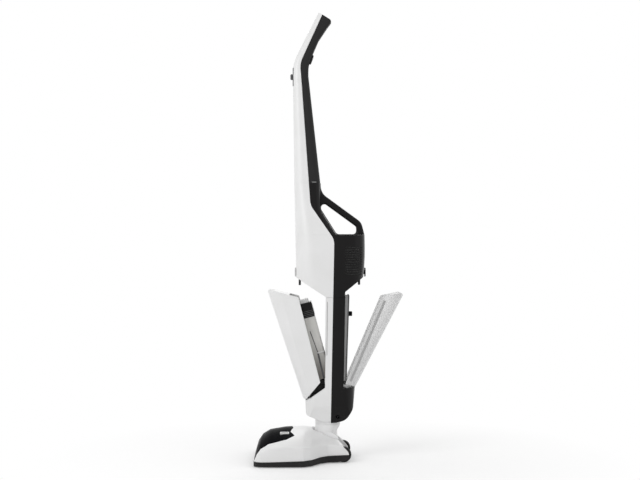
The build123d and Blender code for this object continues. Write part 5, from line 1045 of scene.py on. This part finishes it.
@dataclass(frozen=True)
class Bellows:
    """Folded rubber between two lines of the side view, each given by its two ends."""

    name: str
    foot: Sequence[Pair]
    top: Sequence[Pair]
    half: float
    axis: Triple
    anchor: Triple
    finish: Finish = RUBBER
    fold: float = 0.0022
    folds: int = 8
    keep: float = 0.02

    def shape(self) -> bmesh.types.BMesh:
        """Bridges the folds, every second one drawn in.

        Returns:
            The closed bellows as they stand with the bin open.
        """
        shape = bmesh.new()
        rings: list[bmesh.types.BMEdge] = []
        for step in range(self.folds + 1):
            share = step / self.folds
            near, far = (
                Vector((low[0], 0.0, low[1])).lerp(Vector((high[0], 0.0, high[1])), share)
                for low, high in zip(self.foot, self.top)
            )
            across = Vector((0.0, self.half - self.fold * (step % 2), 0.0))
            spots = (near - across, far - across, far + across, near + across)
            ring = [shape.verts.new(spot) for spot in spots]
            rings += [shape.edges.new((ring[index - 1], ring[index])) for index in range(len(ring))]
            if step in (0, self.folds):
                shape.faces.new(ring)
        bmesh.ops.bridge_loops(shape, edges=rings)
        bmesh.ops.recalc_face_normals(shape, faces=shape.faces)
        return shape


@dataclass
class Containers:
    """The front bin with its filter and the clear rear cup."""

    shop: Workshop
    bin_pivot: Triple = (-0.0565, 0.0, 0.1465)
    bin_open: float = 15.0
    rib_top: Triple = (-0.0500, 0.0362, 0.3210)
    rib_bend: Triple = (-0.0303, 0.0362, 0.2675)
    # Below the bend the dark strip is wider: painted shade along the cover's edge.
    shade_strip_foot: Triple = (-0.0155, 0.0362, 0.2050)
    rib_section: Pair = (0.0018, 0.0012)
    shade_strip_section: Pair = (0.0042, 0.0012)
    rib_easing: float = 0.0004
    clip_middle: Triple = (0.0075, 0.0363, 0.2563)
    clip_size: Triple = (0.017, 0.0016, 0.0032)
    fin_middle: Triple = (0.0043, 0.0, 0.3495)
    fin_size: Triple = (0.0255, 0.0728, 0.0011)
    fin_pitch: float = 0.0042
    fins: int = 4
    thin_easing: float = 0.0003
    cup_pivot: Triple = (0.057, 0.0, 0.1785)
    cup_open: float = 22.0
    rail_foot: Triple = (0.0435, 0.0495, 0.194)
    rail_top: Triple = (0.0475, 0.0506, 0.410)
    rail_section: Pair = (0.0060, 0.0008)
    # Black rubber that closes the gap under the bin; its black also stands in for the shade there.
    bellows: Sequence[Bellows] = (
        Bellows(
            "bin_shade_gusset", foot=((-0.0495, 0.1563), (-0.0131, 0.1822)),
            top=((-0.0495, 0.165), (-0.0242, 0.1935)), half=0.046,
            axis=(0.765, 0.0, -0.644), anchor=(-0.0245, 0.0, 0.195),
        ),
        Bellows(
            "bin_shade_gusset_lip", foot=((-0.0232, 0.193), (-0.0131, 0.1824)),
            top=((-0.0225, 0.1982), (-0.0131, 0.2008)), half=0.03,
            axis=(-0.259, 0.0, 0.966), anchor=(-0.0178, 0.0, 0.1994), finish=SEAL_RUBBER,
        ),
    )

    @staticmethod
    def swung(pivot: Sequence[float], angle: float) -> Matrix:
        """The turn about a hinge across the machine that opens a closed container."""
        hinge = Matrix.Translation(pivot)
        return hinge @ Matrix.Rotation(math.radians(angle), 4, "Y") @ hinge.inverted()

    def add_bin_ribs_and_shade(self) -> None:
        """The bent rib, the wider dark strip below its bend that paints the shade along the cover's edge, and
        the clip, on both sides of the bin's inner cup.
        """
        opened = self.swung(self.bin_pivot, -self.bin_open)
        ribs = bmesh.new()
        clips = bmesh.new()
        for side in Side:
            line = (self.rib_top, self.rib_bend, self.shade_strip_foot)
            top, bend, foot = (self.shop.mirrored(spot, side) for spot in line)
            self.shop.add_rail(ribs, top, bend, self.rib_section, self.rib_easing)
            # From the bend down: a wider dark strip, painted shade along the cover's edge.
            self.shop.add_rail(ribs, bend, foot, self.shade_strip_section, self.rib_easing)
            middle = Matrix.Translation(self.shop.mirrored(self.clip_middle, side))
            self.shop.add_bar(clips, self.clip_size, opened @ middle, self.rib_easing)
        self.shop.piece("bin_cup_ribs_and_shade", ribs, CORE_SHELL, "bin")
        self.shop.piece("bin_cup_clips", clips, LIGHT_GREY, "bin")

    def fin_filter(self) -> None:
        """Thin fins around the lower half of the filter's frame."""
        opened = self.swung(self.bin_pivot, -self.bin_open)
        shape = bmesh.new()
        for fin in range(self.fins):
            middle = Vector(self.fin_middle) + Vector((0.0, 0.0, fin * self.fin_pitch))
            self.shop.add_bar(shape, self.fin_size, opened @ Matrix.Translation(middle), self.thin_easing)
        self.shop.piece("filter_fins", shape, CORE_SHELL, "bin")

    def rail_cup(self) -> None:
        """The denser rail behind the clear cup's mouth on both sides."""
        opened = self.swung(self.cup_pivot, self.cup_open)
        shape = bmesh.new()
        for side in Side:
            ends = [opened @ self.shop.mirrored(spot, side) for spot in (self.rail_foot, self.rail_top)]
            self.shop.add_rail(shape, *ends, self.rail_section, self.thin_easing)
        self.shop.piece("cup_rails", shape, CUP_RAIL, "cup")

    def add_bellows(self) -> None:
        """The rubber bellows between the bin and the foot."""
        for part in self.bellows:
            # Their black closes the gap under the bin and stands in for the shade there.
            made = self.shop.piece(part.name, part.shape(), part.finish, "bin")
            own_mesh(made)

    def dress(self) -> None:
        """Skins both containers."""
        self.shop.skins({
            "bin_cover": WHITE_SHELL,
            "bin_cup": SMOKE_CUP,
            "filter_frame": DARK_SHELL,
            "filter_element": FILTER_CLOTH,
            "bin_lid": LIGHT_GREY,
            "cup_shell": CLEAR_CUP,
            "cup_rim": CLEAR_RIM,
        })

    def build(self) -> None:
        """Makes the containers."""
        self.dress()
        self.add_bin_ribs_and_shade()
        self.fin_filter()
        self.rail_cup()
        self.add_bellows()


@dataclass
class FloorHead:
    """The floor head with its neck, brush and wheels."""

    shop: Workshop
    wheel_axis: Triple = (0.033, 0.0, 0.019)
    wheel_radius: float = 0.019
    wheel_inner: float = 0.045
    wheel_width: float = 0.013
    wheel_steps: int = 72
    tyre_inner: float = 0.0145
    tyre_round: float = 0.002
    tyre_ease: float = 0.0006
    groove: float = 0.0007
    groove_edges: Sequence[float] = (0.0026, 0.0022, 0.0014, 0.001)
    hub_bore: float = 0.0033
    hub_radius: float = 0.007
    hub_dish: float = 0.0015
    spokes: int = 6
    spoke_width: float = 0.0014
    spoke_easing: float = 0.0002
    pedal_ridges: Ridges = Ridges(
        size=(0.016, 0.0012, 0.0009), pitch=0.003, count=4, middle=(-0.112, -0.057, 0.07),
        outward=(0.0, 0.0, 1.0), along=(0.0, 1.0, 0.0), tilt=9.34623, hinge="X",
    )
    brush_axis: Triple = (-0.145, 0.0, 0.0235)
    strips: int = 4
    strip_start: float = 20.0
    strip_half: float = 0.1065
    strip_size: Triple = (0.003, 0.215, 0.0025)
    strip_radius: float = 0.014
    strip_easing: float = 0.0004
    tufts: int = 46
    tuft_sides: int = 7
    tuft_stagger: float = 0.0004
    # Each pair: the most degrees, and how fast the angle changes along the row.
    tuft_lean: Pair = (5.0, 2.4)
    tuft_splay: Pair = (4.0, 1.7)
    tuft_crease: float = 50.0
    tuft_foot: float = 0.0009
    tuft_tip: float = 0.0017
    tuft_reach: float = 0.0222

    def add_tyre(self, body: str, side: Side) -> None:
        """A rubber tyre with two running grooves, around a wheel's hub.

        Args:
            body: The wheel's body.
            side: The side of the machine that it is on.
        """
        shape = bmesh.new()
        half = self.wheel_width / 2
        full = self.wheel_radius
        low = full - self.groove
        near, dip, rise, far = self.groove_edges
        side_line = [
            (self.tyre_inner, half), (full - self.tyre_round, half),
            (full - self.tyre_ease, half - self.tyre_ease), (full, half - self.tyre_round),
            (full, near), (low, dip), (low, rise), (full, far),
        ]
        profile = [(radius, -along) for radius, along in side_line] + side_line[::-1]
        spot = Vector(self.wheel_axis) + Vector((0.0, side.value * (self.wheel_inner + half), 0.0))
        self.shop.add_turned(shape, profile, spot, self.wheel_steps)
        self.shop.piece(f"{body}_tyre", shape, RUBBER, body, stands_for=(body,))
        self.add_hub(body, spot)

    def add_hub(self, body: str, spot: Vector) -> None:
        """A dished hub with spokes on both faces.

        Args:
            body: The wheel's body.
            spot: The wheel's middle.
        """
        shape = bmesh.new()
        half = self.wheel_width / 2
        floor = half - self.hub_dish
        ease = self.hub_dish / 2
        side = [
            (self.tyre_inner, floor), (self.hub_radius, floor), (self.hub_radius, half - ease),
            (self.hub_radius - ease, half), (self.hub_bore, half),
        ]
        profile = side + [(radius, -along) for radius, along in reversed(side)]
        self.shop.add_turned(shape, profile, spot, self.wheel_steps)
        length = self.tyre_inner - self.hub_radius
        middle = (self.tyre_inner + self.hub_radius) / 2
        for spoke in range(self.spokes):
            turn = Matrix.Translation(spot) @ Matrix.Rotation(2 * math.pi * spoke / self.spokes, 4, "Y")
            for way in Side:
                place = turn @ Matrix.Translation((middle, way.value * (floor + ease / 2), 0.0))
                self.shop.add_bar(shape, (length, ease, self.spoke_width), place, self.spoke_easing)
        self.shop.piece(f"{body}_hub", shape, HUB_SHELL, body)

    def add_bristles(self) -> None:
        """Rows of splayed tufts on their strips, in place of the plain bristle solids."""
        shape = bmesh.new()
        length = self.tuft_reach - self.strip_radius
        for strip in range(self.strips):
            angle = math.radians(90.0 - self.strip_start - 360.0 * strip / self.strips)
            turn = Matrix.Translation(self.brush_axis) @ Matrix.Rotation(angle, 4, "Y")
            middle = turn @ Matrix.Translation((0.0, 0.0, self.strip_radius))
            self.shop.add_bar(shape, self.strip_size, middle, self.strip_easing)
            for tuft in range(self.tufts):
                along = self.strip_half * (2 * tuft / (self.tufts - 1) - 1)
                most, beat = self.tuft_lean
                lean = Matrix.Rotation(math.radians(most * math.sin(beat * tuft + strip)), 4, "X")
                most, beat = self.tuft_splay
                splay = Matrix.Rotation(math.radians(most * math.cos(beat * tuft + strip)), 4, "Y")
                foot = Matrix.Translation((self.tuft_stagger * (-1) ** tuft, along, self.strip_radius))
                place = turn @ foot @ lean @ splay @ Matrix.Translation((0.0, 0.0, length / 2))
                bmesh.ops.create_cone(
                    shape, cap_ends=True, segments=self.tuft_sides, radius1=self.tuft_foot,
                    radius2=self.tuft_tip, depth=length, matrix=place,
                )
        self.shop.piece("brush_tufts", shape, BRISTLE, "brush", self.tuft_crease, ("brush_bristles",))

    def dress(self) -> None:
        """Skins the head, the neck and the brush."""
        self.shop.skins({
            "head_base": SOLE_SHELL,
            "head_cover": WHITE_SHELL,
            "brush_window": BLACK_GLOSS,
            "head_duct": DARK_SHELL,
            "head_screws": STEEL,
            "sole_glides": GREY_PLATE,
            "brush_bushes": GREY_PLATE,
            "brush_motor": MOTOR_METAL,
            "drive_belt": RUBBER,
            "wheel_axles": STEEL,
            "tilt_pins": STEEL,
            "release_pedal": LIGHT_GREY,
            "brush_core": CORE_SHELL,
            "brush_pulley": GREY_PLATE,
            "motor_pinion": STEEL,
            "neck_joint": WHITE_SHELL,
            "neck_ring": GREY_PLATE,
        })

    def build(self) -> None:
        """Makes the floor head."""
        self.dress()
        self.add_tyre("wheel_left", Side.LEFT)
        self.add_tyre("wheel_right", Side.RIGHT)
        self.pedal_ridges.lay(self.shop, "pedal_ridges", "release_pedal", LIGHT_GREY)
        self.add_bristles()


@dataclass(frozen=True)
class Lamp:
    """One soft studio lamp that looks at a point."""

    name: str
    spot: Triple
    aim: Triple
    size: float
    power: float

    def hang(self) -> None:
        """Hangs the lamp in the scene."""
        data = bpy.data.lights.new(self.name, "AREA")
        data.shape = "DISK"
        data.size = self.size
        data.energy = self.power
        lamp = bpy.data.objects.new(self.name, data)
        lamp.location = self.spot
        lamp.rotation_euler = (Vector(self.aim) - Vector(self.spot)).to_track_quat("-Z", "Y").to_euler()
        bpy.context.scene.collection.objects.link(lamp)


@dataclass
class Studio:
    """A pale floor, soft light and the camera at the photograph's angle."""

    eye: Triple = (-0.025, -3.2, 0.546)
    lens: float = 72.0
    sensor: float = 36.0
    far_clip: float = 100.0
    sky: float = 0.64
    floor_reach: float = 14.0
    floor_colour: Colour = (0.88, 0.88, 0.88)
    floor_lift: float = 0.2
    shadow_reach: Pair = (0.3, 0.75)
    lamps: Sequence[Lamp] = (
        Lamp("key_lamp", (-1.35, -1.3, 1.25), (0.0, 0.0, 0.62), size=1.0, power=9.5),
        Lamp("fill_lamp", (2.4, -2.0, 1.4), (0.0, 0.0, 0.5), size=2.0, power=4.0),
        Lamp("rear_lamp", (0.6, 2.6, 2.2), (0.0, 0.0, 0.6), size=2.2, power=24.0),
    )

    @staticmethod
    def seen(graph: Graph) -> Wire:
        """Picks the rays that show the background: camera, mirror and see-through rays.

        Args:
            graph: The graph that gets the nodes.

        Returns:
            1 for these rays, 0 for the others.
        """
        shown = graph.node("ShaderNodeLightPath", output="Is Camera Ray")
        for name in ("Is Glossy Ray", "Is Transmission Ray"):
            shown = graph.math("MAXIMUM", shown, graph.node("ShaderNodeLightPath", output=name))
        return shown

    def light_sky(self) -> None:
        """A white sky behind the object that lights it at a plain level."""
        world = bpy.data.worlds.new("studio_sky")
        bpy.context.scene.world = world
        world.use_nodes = True
        graph = Graph(world.node_tree)
        white = (1.0, 1.0, 1.0)
        lighting = graph.node("ShaderNodeBackground", {}, {"Color": white, "Strength": self.sky})
        shown = graph.node("ShaderNodeBackground", {}, {"Color": white})
        sky = graph.node("ShaderNodeMixShader", {}, {0: self.seen(graph), 1: lighting, 2: shown})
        graph.show("ShaderNodeOutputWorld", sky)

    def paint_floor(self) -> bpy.types.Material:
        """A matt pale material that turns plain white away from the object.

        Returns:
            The floor's material.
        """
        material = bpy.data.materials.new("pale_floor")
        material.use_nodes = True
        graph = Graph(material.node_tree)
        seen = self.seen(graph)
        matt = graph.node("ShaderNodeBsdfDiffuse", {}, {"Color": self.floor_colour})
        lift = graph.node("ShaderNodeEmission", {}, {"Strength": seen * self.floor_lift})
        near = graph.node("ShaderNodeAddShader", {}, {0: matt, 1: lift})
        far = graph.node("ShaderNodeEmission")
        spot = graph.node("ShaderNodeTexCoord", output="Object")
        away = graph.node("ShaderNodeVectorMath", {"operation": "LENGTH"}, {0: spot}, output="Value")
        start, end = self.shadow_reach
        fade = graph.node("ShaderNodeMapRange", {}, {"Value": away, "From Min": start, "From Max": end})
        floor = graph.node("ShaderNodeMixShader", {}, {0: fade * seen, 1: near, 2: far})
        graph.show("ShaderNodeOutputMaterial", floor)
        return material

    def lay_floor(self) -> None:
        """A wide pale floor that keeps the object's shadow."""
        shape = bmesh.new()
        bmesh.ops.create_grid(shape, x_segments=1, y_segments=1, size=self.floor_reach)
        mesh = bpy.data.meshes.new("floor")
        shape.to_mesh(mesh)
        shape.free()
        mesh.materials.append(self.paint_floor())
        floor = bpy.data.objects.new("floor", mesh)
        bpy.context.scene.collection.objects.link(floor)

    def set_camera(self) -> None:
        """The camera, level and square to the machine's left side."""
        data = bpy.data.cameras.new("camera")
        data.lens = self.lens
        data.sensor_width = self.sensor
        data.clip_end = self.far_clip
        camera = bpy.data.objects.new("camera", data)
        camera.location = self.eye
        camera.rotation_euler = (math.radians(90.0), 0.0, 0.0)
        bpy.context.scene.collection.objects.link(camera)
        bpy.context.scene.camera = camera

    def build(self) -> None:
        """Sets up floor, light and camera."""
        bpy.context.scene.view_settings.view_transform = "Standard"
        self.light_sky()
        self.lay_floor()
        for lamp in self.lamps:
            lamp.hang()
        self.set_camera()


def main() -> None:
    """Builds the studio and every sub-assembly."""
    logging.basicConfig(level=logging.INFO, format="%(message)s")
    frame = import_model()
    shop = Workshop(frame)
    Studio().build()
    for part in (Handle(shop), MotorBody(shop), Column(shop), Containers(shop), FloorHead(shop)):
        part.build()
        log.info("%s is done", type(part).__name__)


if __name__ == "__main__":
    main()
